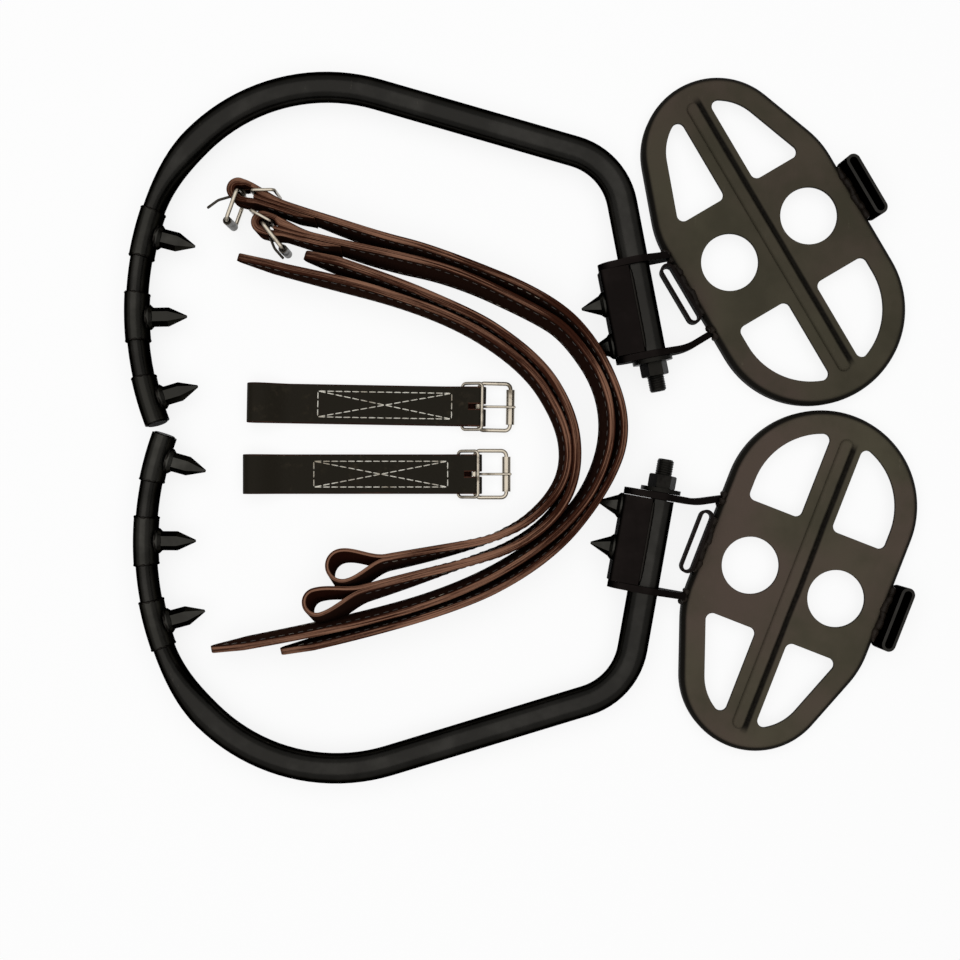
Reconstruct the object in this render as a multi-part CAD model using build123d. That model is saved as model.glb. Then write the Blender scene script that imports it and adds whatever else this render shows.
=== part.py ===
from build123d import *
import os
from dataclasses import dataclass
from math import asin, atan2, cos, degrees, radians, sin, sqrt, tan

# A mirrored pair of pole climbers and their strap set, laid out on a floor.
# Millimetres, +Z up, origin on the floor in the middle of the set's outline.
# Each climber is drawn in its own frame: origin on the shank's axis at the
# open end of the tube, +Y up the shank, +X towards the footplate.

# Fits and gaps
WELD_FIT = 0.1
PIVOT_CLEARANCE = 0.3
AXIAL_GAP = 0.4
LOOSE_GAP = 0.4

# Hoop tube, from the open end of its shank to the pressed oval tip
TUBE_DIAMETER = 22.5
SHANK_LENGTH = 113.0
BEND_RADIUS = 50.0
BEND_TURN = 63.0
STRAIGHT_LENGTH = 154.0
CROWN_RADIUS = 137.0
CROWN_TURN = 87.5
PRESSED_TURN = 26.0
PRESSED_SECTIONS = 6
TIP_RADIUS = 234.0
TIP_WIDTH = 15.2
TIP_HEIGHT = 28.6

# Sleeves welded round the tip, counted from the end
SLEEVE_COUNT = 3
SLEEVE_LENGTH = 35.0
SLEEVE_PITCH = 63.0
SLEEVE_WALL = 1.2
TIP_PLUG_LENGTH = 5.0
TIP_PLUG_PROUD = 1.0
TIP_PLUG_ROUND = 0.8

# Hexagon spikes
SPIKE_ACROSS_FLATS = 12.5
SPIKE_POINT_LENGTH = 13.5
SPIKE_POINT_FLAT = 1.6
SPIKE_BOSS_DIAMETER = 19.0
SPIKE_BOSS_HEIGHT = 3.5
TIP_SPIKE_LENGTH = 28.5
CHANNEL_SPIKE_LENGTH = 17.5
CHANNEL_SPIKE_FIRST = 9.0
CHANNEL_SPIKE_PITCH = 31.5
CHANNEL_SPIKE_COUNT = 2

# Channel welded along the pole side of the shank
CHANNEL_LENGTH = 65.0
CHANNEL_DEPTH = 16.0
CHANNEL_HEIGHT = 26.0
CHANNEL_WALL = 4.0
CHANNEL_GRIP = 6.0
CHANNEL_ROUND = 3.0

# Pivot at the open end of the shank
PLUG_DIAMETER = 16.0
PLUG_DEPTH = 26.0
STUD_DIAMETER = 12.0
STUD_FREE_END = 12.0
STUD_CHAMFER = 1.2
WASHER_DIAMETER = 30.0
WASHER_THICKNESS = 3.0
NUT_ACROSS_FLATS = 18.0
NUT_THICKNESS = 10.0
NUT_CHAMFER = 0.8

# Flat arms that carry the footplate
ARM_THICKNESS = 5.0
ARM_EYE_DIAMETER = 30.5
ARM_TAIL = 15.0
ARM_TAIL_DIAMETER = 24.0
ARM_END_HEIGHT = 7.5
ARM_CORNER = 27.0
ARM_CORNER_RADIUS = 40.0
ARM_WELD_DEPTH = 9.0
LOWER_ARM_STATION = -42.0

# Footplate, pressed from sheet with a turned-down rim
PLATE_WIDTH = 145.0
TOE_RADIUS = 57.0
TOE_CENTRE = 73.0
SHOULDER_CENTRE = 28.0
HEEL_CENTRE = 64.0
PLATE_HEIGHT = 13.0
PLATE_SHEET = 3.0
PLATE_ROLL = 6.0
RIM_WIDTH = 18.0
SPINE_HALF_WIDTH = 12.5
WINDOW_CORNER = 5.0
WINDOW_EDGE = 0.8
TOE_WINDOW_BASE = 40.5
HEEL_WINDOW_BASE = 49.5
HOLE_DIAMETER = 43.0
HOLE_SPREAD = 34.5
HOLE_STATION = -3.0
BEAD_TOE_END = 114.5
BEAD_HEEL_END = 117.5
BEAD_WIDTH = 10.0
BEAD_RISE = 3.0

# Strap loops welded to the footplate's edges
LOOP_LENGTH = 50.0
LOOP_WIDTH = 10.7
LOOP_WALL = 2.2
LOOP_BASE = 3.0
LOOP_HEIGHT = 22.0
LOOP_LEAN = 6.0
LOOP_STATION = -5.0

# Leather straps, two plies sewn back to back
PLY = 2.5
STRAP_WIDTH = 30.0
BEND_SHARE = 0.45
STRAP_TAPER = 26.0
STRAP_NOSE_RADIUS = 6.0
BUCKLE_FOLD_RADIUS = 6.0
BUCKLE_NECK = 38.0
SHORT_STRAP_LENGTH = 175.0
SHORT_LOOP_RADIUS = 5.0
SHORT_LOOP_NECK = 34.0
SHORT_FOLD_RADIUS = 3.0
SHORT_BUCKLE_NECK = 34.0

# Roller buckles and wire keepers
BUCKLE_WIRE = 3.0
BUCKLE_REACH = 24.0
BUCKLE_SIDE_GAP = 1.2
BUCKLE_CORNER = 4.0
ROLLER_DIAMETER = 6.4
ROLLER_WALL = 0.8
ROLLER_END_GAP = 0.5
PRONG_WIRE = 2.0
PRONG_EYE_WIDTH = 3.0
PRONG_EYE_WALL = 1.6
PRONG_CLEARANCE = 0.3
PRONG_OVERHANG = 1.0
PRONG_KNEE = 18.0
PRONG_BEND = 20.0
KEEPER_WIRE = 2.4
KEEPER_LENGTH = 17.0
KEEPER_CORNER = 3.0
SHORT_KEEPER_STATION = 12.6
SHORT_KEEPER_TURN = 28.0

# The two climbers lie tip to tip
TIP_LINE = -4.2
TIP_GAP = 9.4

# Sizes that follow from those above
TUBE_RADIUS = TUBE_DIAMETER / 2
SLEEVE_HALF_WIDTH = TIP_WIDTH / 2 + WELD_FIT + SLEEVE_WALL
SLEEVE_HALF_HEIGHT = TIP_HEIGHT / 2 + WELD_FIT + SLEEVE_WALL
AXIS_HEIGHT = SLEEVE_HALF_HEIGHT
TIP_TURN = degrees(((SLEEVE_COUNT - 1) * SLEEVE_PITCH + SLEEVE_LENGTH) / TIP_RADIUS)
PLUG_TURN = degrees(TIP_PLUG_LENGTH / TIP_RADIUS)
CHANNEL_BACK = TUBE_RADIUS + CHANNEL_DEPTH
UPPER_ARM_LEVEL = CHANNEL_LENGTH + AXIAL_GAP + ARM_THICKNESS / 2
LOWER_ARM_LEVEL = -AXIAL_GAP - ARM_THICKNESS / 2
WASHER_LEVEL = LOWER_ARM_LEVEL - ARM_THICKNESS / 2 - AXIAL_GAP
NUT_LEVEL = WASHER_LEVEL - WASHER_THICKNESS
STUD_END = NUT_LEVEL - NUT_THICKNESS - STUD_FREE_END
LOOP_EDGE = PLATE_WIDTH / 2 + WELD_FIT
STRAP_THICKNESS = 2 * PLY
BUCKLE_SPAN = STRAP_WIDTH + 2 * BUCKLE_SIDE_GAP + BUCKLE_WIRE
BUCKLE_RISE = (BUCKLE_SPAN + BUCKLE_WIRE - STRAP_WIDTH) / 2 + LOOSE_GAP
PRONG_EYE_RADIUS = BUCKLE_WIRE / 2 + PRONG_CLEARANCE + PRONG_EYE_WALL
PRONG_LENGTH = BUCKLE_REACH + ROLLER_DIAMETER / 2 + PRONG_OVERHANG
PRONG_LIFT = ROLLER_DIAMETER / 2 + PRONG_WIRE / 2 + LOOSE_GAP - PRONG_KNEE * sin(radians(PRONG_BEND))
PRONG_REST = PRONG_BEND + degrees(asin(PRONG_LIFT / BUCKLE_REACH))
KEEPER_SPAN = STRAP_WIDTH + 2 * BUCKLE_SIDE_GAP + KEEPER_WIRE
SHORT_BAR_HEIGHT = SHORT_FOLD_RADIUS + PLY
SHORT_BUCKLE_PITCH = degrees(asin((SHORT_BAR_HEIGHT - ROLLER_DIAMETER / 2) / BUCKLE_REACH))


@dataclass(frozen=True)
class Side:
    """One climber of the pair: where it lies and how its footplate is welded on."""

    name: str
    mirrored: bool
    place: tuple
    turn: float
    plate_centre: tuple
    plate_turn: float


LEFT = Side("left", False, (98.2, 54.0), 10.9, (103.0, 69.0), 19.6)
RIGHT = Side("right", True, (104.4, -57.3), -10.1, (110.0, 46.0), 11.2)


@dataclass(frozen=True)
class Buckle:
    """How a buckle and its keeper lie in the strap's fold, as angles and places from the bar."""

    frame_turn: float
    prong_turn: float
    keeper_station: float
    keeper_offset: float
    keeper_turn: float


@dataclass(frozen=True)
class Loop:
    """The open loop at a long strap's end."""

    radius: float
    neck: float


# Routes of the long straps on the floor, from the buckle or the pointed end
BUCKLE_STRAP_ROUTES = {
    "outer": [(-207.5, 171.5), (4, 102), (54, 50.5), (76.5, -2), (61.5, -47.5), (18, -99),
              (-59.5, -139), (-179, -169.5)],
    "second": [(-189.5, 147.2), (-22, 97), (33, 62), (59.5, 23), (62.5, -20), (37, -67),
               (-25, -113), (-119, -145.5), (-231, -168)],
}
LOOP_STRAP_ROUTES = {
    "third": [(-209, 121), (-171, 114.5), (-64, 81), (1, 42), (28.5, 0), (33, -31),
              (20.5, -56), (-8, -80), (-53, -93.5), (-130.5, -110.5)],
    "inner": [(-159, 122.5), (-54, 87.5), (11, 48.5), (37, 7), (41.5, -31.5), (29.5, -62.5),
              (-4, -90.5), (-53, -107.5), (-149, -137.5)],
}
BUCKLES = {
    "outer": Buckle(frame_turn=250.0, prong_turn=-54.0, keeper_station=9.5, keeper_offset=2.4, keeper_turn=19.0),
    "second": Buckle(frame_turn=308.0, prong_turn=-PRONG_REST, keeper_station=5.5, keeper_offset=2.6,
                     keeper_turn=167.0),
}
LOOPS = {
    "third": Loop(radius=10.0, neck=33.0),
    "inner": Loop(radius=7.8, neck=36.0),
}

# Where the buckle bar of each short strap lies, and the strap's turn
SHORT_STRAP_PLACES = {
    "upper": (-30.5, 13.0, -1.0),
    "lower": (-33.5, -38.0, 0.0),
}


# Helpers
def across(line, share):
    """Plane across a level line: X to its left, Y up."""
    tangent = line % share
    return Plane(line @ share, x_dir=(-tangent.Y, tangent.X, 0), z_dir=tangent)


def hull(*faces):
    """Outline stretched round the given faces."""
    edges = [edge for face in faces for edge in face.edges()]
    return make_hull(edges)


def rod(radius, low, high):
    """Round bar on the shank's axis between two levels."""
    return extrude(Plane.XZ.offset(-low) * Circle(radius), low - high)


def side_place(side):
    """Where a climber's open end lies: as seen, or farther out if its tip would meet the other's."""
    away = -1 if side.mirrored else 1
    tip = hoop_lines()[-1] @ 1
    reach = tip.X * sin(radians(away * side.turn)) + tip.Y * cos(radians(side.turn))
    x, y = side.place
    clear = away * (y - TIP_LINE) + reach
    return x, y + away * max(0, TIP_GAP / 2 - clear)


def lay(side, shape):
    """A shape of the climber's own frame, where that climber lies."""
    if side.mirrored:
        shape = mirror(shape, about=Plane.XZ)
    return Location((*side_place(side), AXIS_HEIGHT), (0, 0, side.turn)) * shape


# Hoop
def hoop_lines():
    """Centre line of the hoop: shank, bend, straight, crown, pressed run and tip."""
    shank = Line((0, 0), (0, SHANK_LENGTH))
    bend = JernArc(shank @ 1, shank % 1, BEND_RADIUS, BEND_TURN)
    straight = PolarLine(bend @ 1, STRAIGHT_LENGTH, direction=bend % 1)
    crown = JernArc(straight @ 1, straight % 1, CROWN_RADIUS, CROWN_TURN - PRESSED_TURN)
    pressed = JernArc(crown @ 1, crown % 1, CROWN_RADIUS, PRESSED_TURN)
    tip = JernArc(pressed @ 1, pressed % 1, TIP_RADIUS, TIP_TURN)
    return shank, bend, straight, crown, pressed, tip


def pressed_section(share):
    """Section of the pressed run, easing from the round tube to the oval tip."""
    ease = share * share * (3 - 2 * share)
    width = TUBE_RADIUS + (TIP_WIDTH / 2 - TUBE_RADIUS) * ease
    height = TUBE_RADIUS + (TIP_HEIGHT / 2 - TUBE_RADIUS) * ease
    return Ellipse(width, height)


def round_tip(tip, section, first_turn, turn):
    """A section carried round part of the tip's arc."""
    face = across(tip, first_turn / TIP_TURN) * section
    axis = Axis(tip.arc_center, (0, 0, 1))
    return revolve(face, axis=axis, revolution_arc=turn)


def hoop_tube():
    """The bent tube, with the bore in its open end that takes the pivot plug."""
    shank, bend, straight, crown, pressed, tip = hoop_lines()
    path = Wire([shank, bend, straight, crown])
    round_run = sweep(across(shank, 0) * Circle(TUBE_RADIUS), path)
    shares = [i / (PRESSED_SECTIONS - 1) for i in range(PRESSED_SECTIONS)]
    pressed_run = loft([across(pressed, share) * pressed_section(share) for share in shares])
    tip_run = round_tip(tip, Ellipse(TIP_WIDTH / 2, TIP_HEIGHT / 2), 0, TIP_TURN - PLUG_TURN)
    bore = rod(PLUG_DIAMETER / 2, 0, PLUG_DEPTH + AXIAL_GAP)
    return round_run + pressed_run + tip_run - bore


def sleeve_turns(index):
    """Where a sleeve starts on the tip's arc, and the turn that it covers."""
    turn = degrees(SLEEVE_LENGTH / TIP_RADIUS)
    start = TIP_TURN - degrees(index * SLEEVE_PITCH / TIP_RADIUS) - turn
    return start, turn


def tip_sleeve(index):
    """One sleeve welded round the oval tip."""
    tip = hoop_lines()[-1]
    outer = Ellipse(SLEEVE_HALF_WIDTH, SLEEVE_HALF_HEIGHT)
    inner = Ellipse(TIP_WIDTH / 2 + WELD_FIT, TIP_HEIGHT / 2 + WELD_FIT)
    return round_tip(tip, outer - inner, *sleeve_turns(index))


def tip_plug():
    """Plug that closes the last sleeve, a little proud of its end."""
    tip = hoop_lines()[-1]
    outline = Ellipse(TIP_WIDTH / 2, TIP_HEIGHT / 2)
    inner_part = round_tip(tip, outline, TIP_TURN - PLUG_TURN, PLUG_TURN)
    end_part = extrude(across(tip, 1) * outline, TIP_PLUG_PROUD)
    end_face = end_part.faces().sort_by_distance(tip @ 0)[-1]
    return inner_part + chamfer(end_face.edges(), TIP_PLUG_ROUND)


# Spikes and channel
def spike(length, root):
    """Pointed hexagon bar with its weld boss, along +Z, sunk by root at its base."""
    hexagon = RegularPolygon(SPIKE_ACROSS_FLATS / 2, 6, major_radius=False)
    blunt = RegularPolygon(SPIKE_POINT_FLAT / 2, 6, major_radius=False)
    shoulder = length - SPIKE_POINT_LENGTH
    bar = extrude(Pos(0, 0, -root) * hexagon, shoulder + root)
    point = loft([Pos(0, 0, shoulder) * hexagon, Pos(0, 0, length) * blunt])
    boss = extrude(Pos(0, 0, -root) * Circle(SPIKE_BOSS_DIAMETER / 2), SPIKE_BOSS_HEIGHT + root)
    boss = chamfer(boss.edges().sort_by(Axis.Z)[-1], SPIKE_BOSS_HEIGHT * 0.6)
    return bar + point + boss


def tip_spikes():
    """One spike in the middle of each sleeve, pointing into the hoop."""
    tip = hoop_lines()[-1]
    seat_outline = Ellipse(SLEEVE_HALF_WIDTH + WELD_FIT, SLEEVE_HALF_HEIGHT + WELD_FIT)
    sleeve_form = round_tip(tip, seat_outline, 0, TIP_TURN)
    spikes = []
    for index in range(SLEEVE_COUNT):
        start, turn = sleeve_turns(index)
        section = across(tip, (start + turn / 2) / TIP_TURN)
        seat = section.origin + section.x_dir * SLEEVE_HALF_WIDTH
        plane = Plane(seat, x_dir=section.z_dir, z_dir=section.x_dir)
        spikes.append(plane * spike(TIP_SPIKE_LENGTH, SLEEVE_WALL) - sleeve_form)
    return Compound(spikes)


def spike_channel():
    """Channel that carries the shank's spikes, its flanges welded to the tube."""
    width = CHANNEL_BACK - CHANNEL_GRIP
    outer = Pos(-CHANNEL_BACK + width / 2, 0) * Rectangle(width, CHANNEL_HEIGHT)
    outer = fillet(outer.vertices().group_by(Axis.X)[0], CHANNEL_ROUND)
    hollow = Rectangle(2 * (CHANNEL_BACK - CHANNEL_WALL), CHANNEL_HEIGHT - 2 * CHANNEL_WALL)
    section = outer - hollow - Circle(TUBE_RADIUS + WELD_FIT)
    return extrude(Plane.XZ * section, -CHANNEL_LENGTH)


def channel_spikes():
    """Spikes on the back of the channel, pointing into the hoop."""
    spikes = []
    for index in range(CHANNEL_SPIKE_COUNT):
        level = CHANNEL_SPIKE_FIRST + index * CHANNEL_SPIKE_PITCH
        plane = Plane((-CHANNEL_BACK, level, 0), x_dir=(0, 1, 0), z_dir=(-1, 0, 0))
        spikes.append(plane * spike(CHANNEL_SPIKE_LENGTH, 0))
    return Compound(spikes)


# Pivot
def pivot_stud():
    """Plug welded in the tube's end, with the stud that the lower arm turns on."""
    plug = rod(PLUG_DIAMETER / 2 - WELD_FIT, 0, PLUG_DEPTH)
    stud = rod(STUD_DIAMETER / 2, STUD_END, 0)
    stud = chamfer(stud.edges().sort_by(Axis.Y)[0], STUD_CHAMFER)
    return plug + stud


def pivot_washer():
    """Washer between the lower arm and the nut."""
    disc = rod(WASHER_DIAMETER / 2, NUT_LEVEL, WASHER_LEVEL)
    return disc - rod(STUD_DIAMETER / 2 + WELD_FIT, NUT_LEVEL, WASHER_LEVEL)


def pivot_nut():
    """Hexagon nut on the stud."""
    hexagon = RegularPolygon(NUT_ACROSS_FLATS / 2, 6, major_radius=False)
    ring = hexagon - Circle(STUD_DIAMETER / 2 + WELD_FIT)
    nut = extrude(Plane.XZ.offset(-NUT_LEVEL) * ring, NUT_THICKNESS)
    crown = rod(NUT_ACROSS_FLATS / sqrt(3), NUT_LEVEL - NUT_THICKNESS, NUT_LEVEL)
    return nut & chamfer(crown.edges().filter_by(GeomType.CIRCLE), NUT_CHAMFER)


# Footplate, drawn from above with its toe along +Y and the shank at -X
def plate_place(side):
    """Where the footplate's own frame lies in the climber's frame."""
    return Location((*side.plate_centre, -AXIS_HEIGHT), (0, 0, side.plate_turn))


def plate_outline(grow):
    """Outline of the footplate, grown outwards by an amount."""
    wide = PLATE_WIDTH / 2 + grow
    toe = TOE_RADIUS + grow
    lean = asin((wide - toe) / (TOE_CENTRE - SHOULDER_CENTRE))
    heel_end = (wide, -HEEL_CENTRE)
    flank_end = (wide, SHOULDER_CENTRE)
    shoulder_middle = (wide * cos(lean / 2), SHOULDER_CENTRE + wide * sin(lean / 2))
    shoulder_end = (wide * cos(lean), SHOULDER_CENTRE + wide * sin(lean))
    toe_start = (toe * cos(lean), TOE_CENTRE + toe * sin(lean))
    half = Curve() + [
        ThreePointArc((0, -HEEL_CENTRE - wide), (wide / sqrt(2), -HEEL_CENTRE - wide / sqrt(2)), heel_end),
        Line(heel_end, flank_end),
        ThreePointArc(flank_end, shoulder_middle, shoulder_end),
        Line(shoulder_end, toe_start),
        ThreePointArc(toe_start, (toe / sqrt(2), TOE_CENTRE + toe / sqrt(2)), (0, TOE_CENTRE + toe)),
    ]
    return make_face(half + mirror(half, about=Plane.YZ))


def plate_windows():
    """The four rimmed windows and two round holes of the footplate."""
    field = plate_outline(-RIM_WIDTH)
    reach = PLATE_WIDTH + TOE_CENTRE + HEEL_CENTRE
    windows = []
    for base, grow in ((TOE_WINDOW_BASE, Align.MIN), (-HEEL_WINDOW_BASE, Align.MAX)):
        quarter = Rectangle(reach, reach, align=(Align.MIN, grow))
        window = field & (Pos(SPINE_HALF_WIDTH, base) * quarter)
        window = offset(offset(window, -WINDOW_CORNER), WINDOW_CORNER)
        windows += [window, mirror(window, about=Plane.YZ)]
    for spread in (-HOLE_SPREAD, HOLE_SPREAD):
        windows.append(Pos(spread, HOLE_STATION) * Circle(HOLE_DIAMETER / 2))
    return windows


def pressing(outline, height, roll):
    """A flat-topped pressing: an outline raised from the floor with its edge rolled over."""
    block = extrude(outline, height)
    return fillet(block.faces().sort_by(Axis.Z)[-1].edges(), roll)


def bead(width, length, base, top):
    """The raised bead down the middle of the footplate."""
    middle = (BEAD_TOE_END - BEAD_HEEL_END) / 2
    slot = Pos(0, middle, base) * SlotOverall(length, width, rotation=90)
    ridge = extrude(slot, top - base)
    return fillet(ridge.faces().sort_by(Axis.Z)[-1].edges(), BEAD_RISE * 0.9)


def footplate():
    """Pressed sheet plate: rolled rim, windows, round holes and middle bead."""
    inside = plate_outline(-PLATE_SHEET)
    plate = pressing(plate_outline(0), PLATE_HEIGHT, PLATE_ROLL)
    plate -= pressing(inside, PLATE_HEIGHT - PLATE_SHEET, PLATE_ROLL - PLATE_SHEET)
    for window in plate_windows():
        plate -= extrude(window, PLATE_HEIGHT)
    top = plate.faces().filter_by(Axis.Z).sort_by(Axis.Z)[-1]
    plate = fillet([edge for wire in top.inner_wires() for edge in wire.edges()], WINDOW_EDGE)
    length = BEAD_TOE_END + BEAD_HEEL_END
    plate += bead(BEAD_WIDTH, length, PLATE_HEIGHT - PLATE_SHEET, PLATE_HEIGHT + BEAD_RISE)
    return plate


def loop_place(shank_side):
    """Frame of a strap loop: origin in the middle of its lower face, Z up through its slot."""
    out = -1 if shank_side else 1
    edge = Location((out * LOOP_EDGE, LOOP_STATION, LOOP_BASE), (0, out * LOOP_LEAN, 0))
    return edge * Pos(out * LOOP_WIDTH / 2, 0, 0)


def strap_loop(shank_side):
    """Obround strap loop on the footplate's edge, leaning out."""
    outer = SlotOverall(LOOP_LENGTH, LOOP_WIDTH, rotation=90)
    inner = SlotOverall(LOOP_LENGTH - 2 * LOOP_WALL, LOOP_WIDTH - 2 * LOOP_WALL, rotation=90)
    return loop_place(shank_side) * extrude(outer - inner, LOOP_HEIGHT)


# Arms
def arm(side, path, bore):
    """Flat bar with an eye at the shank, tapered to its weld on the footplate's edge."""
    weld = path @ 1
    weld_height = ARM_END_HEIGHT / 2 + WELD_FIT - AXIS_HEIGHT
    eye = Circle(ARM_EYE_DIAMETER / 2)
    tail = Pos(-ARM_TAIL, 0) * Circle(ARM_TAIL_DIAMETER / 2)
    end = Pos(weld.X, weld_height) * Circle(ARM_END_HEIGHT / 2)
    profile = hull(tail, eye) + hull(eye, end)
    blade = extrude(Plane.XZ * profile, PLATE_WIDTH, both=True)
    strip = sweep(across(path, 0) * Rectangle(ARM_THICKNESS, ARM_EYE_DIAMETER), path)
    plate_form = plate_place(side) * extrude(plate_outline(WELD_FIT), 2 * AXIS_HEIGHT)
    return (strip & blade) - rod(bore, -PLATE_WIDTH, PLATE_WIDTH) - plate_form


def upper_arm(side):
    """Straight arm that turns on the tube, above the channel."""
    far = side.plate_centre[0] / 2
    path = Line((-ARM_TAIL - ARM_TAIL_DIAMETER, UPPER_ARM_LEVEL), (far, UPPER_ARM_LEVEL))
    return arm(side, path, TUBE_RADIUS + PIVOT_CLEARANCE)


def lower_arm(side):
    """Bent arm that turns on the stud, below the tube's end."""
    joint = (plate_place(side) * Pos(-PLATE_WIDTH / 2, LOWER_ARM_STATION)).position
    corner = Vector(ARM_CORNER, LOWER_ARM_LEVEL)
    run = Vector(joint.X, joint.Y) - corner
    end = corner + run * ((run.length + ARM_WELD_DEPTH) / run.length)
    start = Vector(-ARM_TAIL - ARM_TAIL_DIAMETER, LOWER_ARM_LEVEL)
    path = FilletPolyline(start, corner, end, radius=ARM_CORNER_RADIUS)
    return arm(side, path, STUD_DIAMETER / 2 + PIVOT_CLEARANCE)


def climber(side):
    """All pieces of one climber, by node name, where they lie."""
    plate = plate_place(side)
    pieces = {
        "hoop_tube": hoop_tube(),
        "tip_sleeve": tip_sleeve(0),
        "middle_sleeve": tip_sleeve(1),
        "rear_sleeve": tip_sleeve(2),
        "tip_plug": tip_plug(),
        "tip_spikes": tip_spikes(),
        "spike_channel": spike_channel(),
        "channel_spikes": channel_spikes(),
        "pivot_stud": pivot_stud(),
        "pivot_washer": pivot_washer(),
        "pivot_nut": pivot_nut(),
        "upper_arm": upper_arm(side),
        "lower_arm": lower_arm(side),
        "footplate": plate * footplate(),
        "inner_strap_loop": plate * strap_loop(True),
        "outer_strap_loop": plate * strap_loop(False),
    }
    return {f"{side.name}_{name}": lay(side, piece) for name, piece in pieces.items()}


# Straps
def bend_radii(points):
    """Corner radii of a strap's route, each as large as its two runs allow."""
    radii = []
    for before, here, after in zip(points, points[1:], points[2:]):
        run_in = Vector(*here) - Vector(*before)
        run_out = Vector(*after) - Vector(*here)
        half_turn = radians(run_in.get_angle(run_out)) / 2
        radii.append(BEND_SHARE * min(run_in.length, run_out.length) / tan(half_turn))
    return radii


def strap_band(points):
    """A strap standing on edge along its route, and the line that it follows."""
    path = FilletPolyline(*points, radius=bend_radii(points))
    section = Pos(0, STRAP_WIDTH / 2) * Rectangle(STRAP_THICKNESS, STRAP_WIDTH)
    return sweep(across(path, 0) * section, path), path


def strap_nose(path):
    """What is cut away at a strap's end to leave a rounded point."""
    tangent = path % 1
    face = Plane(path @ 1 + Vector(0, 0, STRAP_WIDTH / 2), x_dir=-tangent, z_dir=(-tangent.Y, tangent.X, 0))
    whole = Rectangle(STRAP_TAPER, 2 * STRAP_WIDTH, align=(Align.MIN, Align.CENTER))
    nose = Pos(STRAP_NOSE_RADIUS, 0) * Circle(STRAP_NOSE_RADIUS)
    root = Pos(STRAP_TAPER, 0) * Rectangle(STRAP_TAPER, STRAP_WIDTH, align=(Align.MIN, Align.CENTER))
    return extrude(face * (whole - hull(nose, root)), STRAP_THICKNESS, both=True)


def eye_profile(eye, neck, radius):
    """Section of a fold: the two plies part at the neck and go round the eye."""
    eye = Vector(*eye)
    neck = Vector(*neck)
    toward = (eye - neck).normalized()
    parting = neck + toward * STRAP_THICKNESS
    outer = hull(Pos(eye) * Circle(radius + PLY), Pos(neck) * Circle(PLY))
    inner = hull(Pos(eye) * Circle(radius), Pos(parting) * Circle(WELD_FIT))
    return outer, inner


def step_back(points, length):
    """The last point of a route, and the point that lies a length before it."""
    end = Vector(*points[-1])
    run = Vector(*points[-2]) - end
    return end, end + run.normalized() * length


def folded_end(points, neck_length, radius):
    """The fold at a strap's last point, standing on edge, and the space inside it."""
    eye, neck = step_back(points, neck_length)
    outer, inner = eye_profile((eye.X, eye.Y), (neck.X, neck.Y), radius)
    return extrude(outer, STRAP_WIDTH), extrude(inner, STRAP_WIDTH)


def prong_slot(place, radius):
    """Slot through a fold of an inner radius, that the prong turns in."""
    back = PRONG_EYE_RADIUS + STRAP_THICKNESS
    reach = radius + STRAP_THICKNESS
    slot = Pos(-back, 0, 0) * Box(
        back + reach, PRONG_EYE_WIDTH + 2 * LOOSE_GAP, 2 * reach,
        align=(Align.MIN, Align.CENTER, Align.CENTER))
    return place * slot


def strap_tilt(points):
    """The slight tilt of a strap whose one end stands on its buckle."""
    low = points[-1][1]
    slope = degrees(atan2(BUCKLE_RISE, points[0][1] - low))
    return Pos(0, low, 0) * Rot(slope, 0, 0) * Pos(0, -low, 0)


def standing_bar(points, turn):
    """Frame on the bar of a standing strap: X at a turn, Y up the bar."""
    x_dir = Vector(cos(radians(turn)), sin(radians(turn)), 0)
    plane = Plane((*points[0], STRAP_WIDTH / 2), x_dir=x_dir, z_dir=(x_dir.Y, -x_dir.X, 0))
    return strap_tilt(points) * plane.location


def route_turn(points):
    """Direction in which a strap's first end points."""
    return degrees(atan2(points[0][1] - points[1][1], points[0][0] - points[1][0]))


def buckle_strap(points):
    """Long strap: folded round its buckle bar at one end, pointed at the other."""
    _, neck = step_back(points[::-1], BUCKLE_NECK)
    band, path = strap_band([(neck.X, neck.Y), *points[1:]])
    fold, space = folded_end(points[::-1], BUCKLE_NECK, BUCKLE_FOLD_RADIUS)
    straight = standing_bar(points, route_turn(points))
    flat = strap_tilt(points) * (band + fold - space - strap_nose(path))
    return flat - prong_slot(straight, BUCKLE_FOLD_RADIUS)


def loop_strap(points, loop):
    """Long strap: pointed at its first end, with an open sewn loop at the other."""
    _, neck = step_back(points, loop.neck)
    band, _ = strap_band([*points[:-1], (neck.X, neck.Y)])
    fold, space = folded_end(points, loop.neck, loop.radius)
    return band + fold - space - strap_nose(Line(points[1], points[0]))


def short_place(name):
    """Frame of a short strap: its buckle bar above the origin, the strap along -X."""
    x, y, turn = SHORT_STRAP_PLACES[name]
    return Location((x, y, 0), (0, 0, turn))


def lying_bar(name):
    """Frame on the bar of a short strap: X out along the buckle, Y along the bar."""
    return short_place(name) * Pos(0, 0, SHORT_BAR_HEIGHT) * Rot(0, SHORT_BUCKLE_PITCH, 0)


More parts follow.
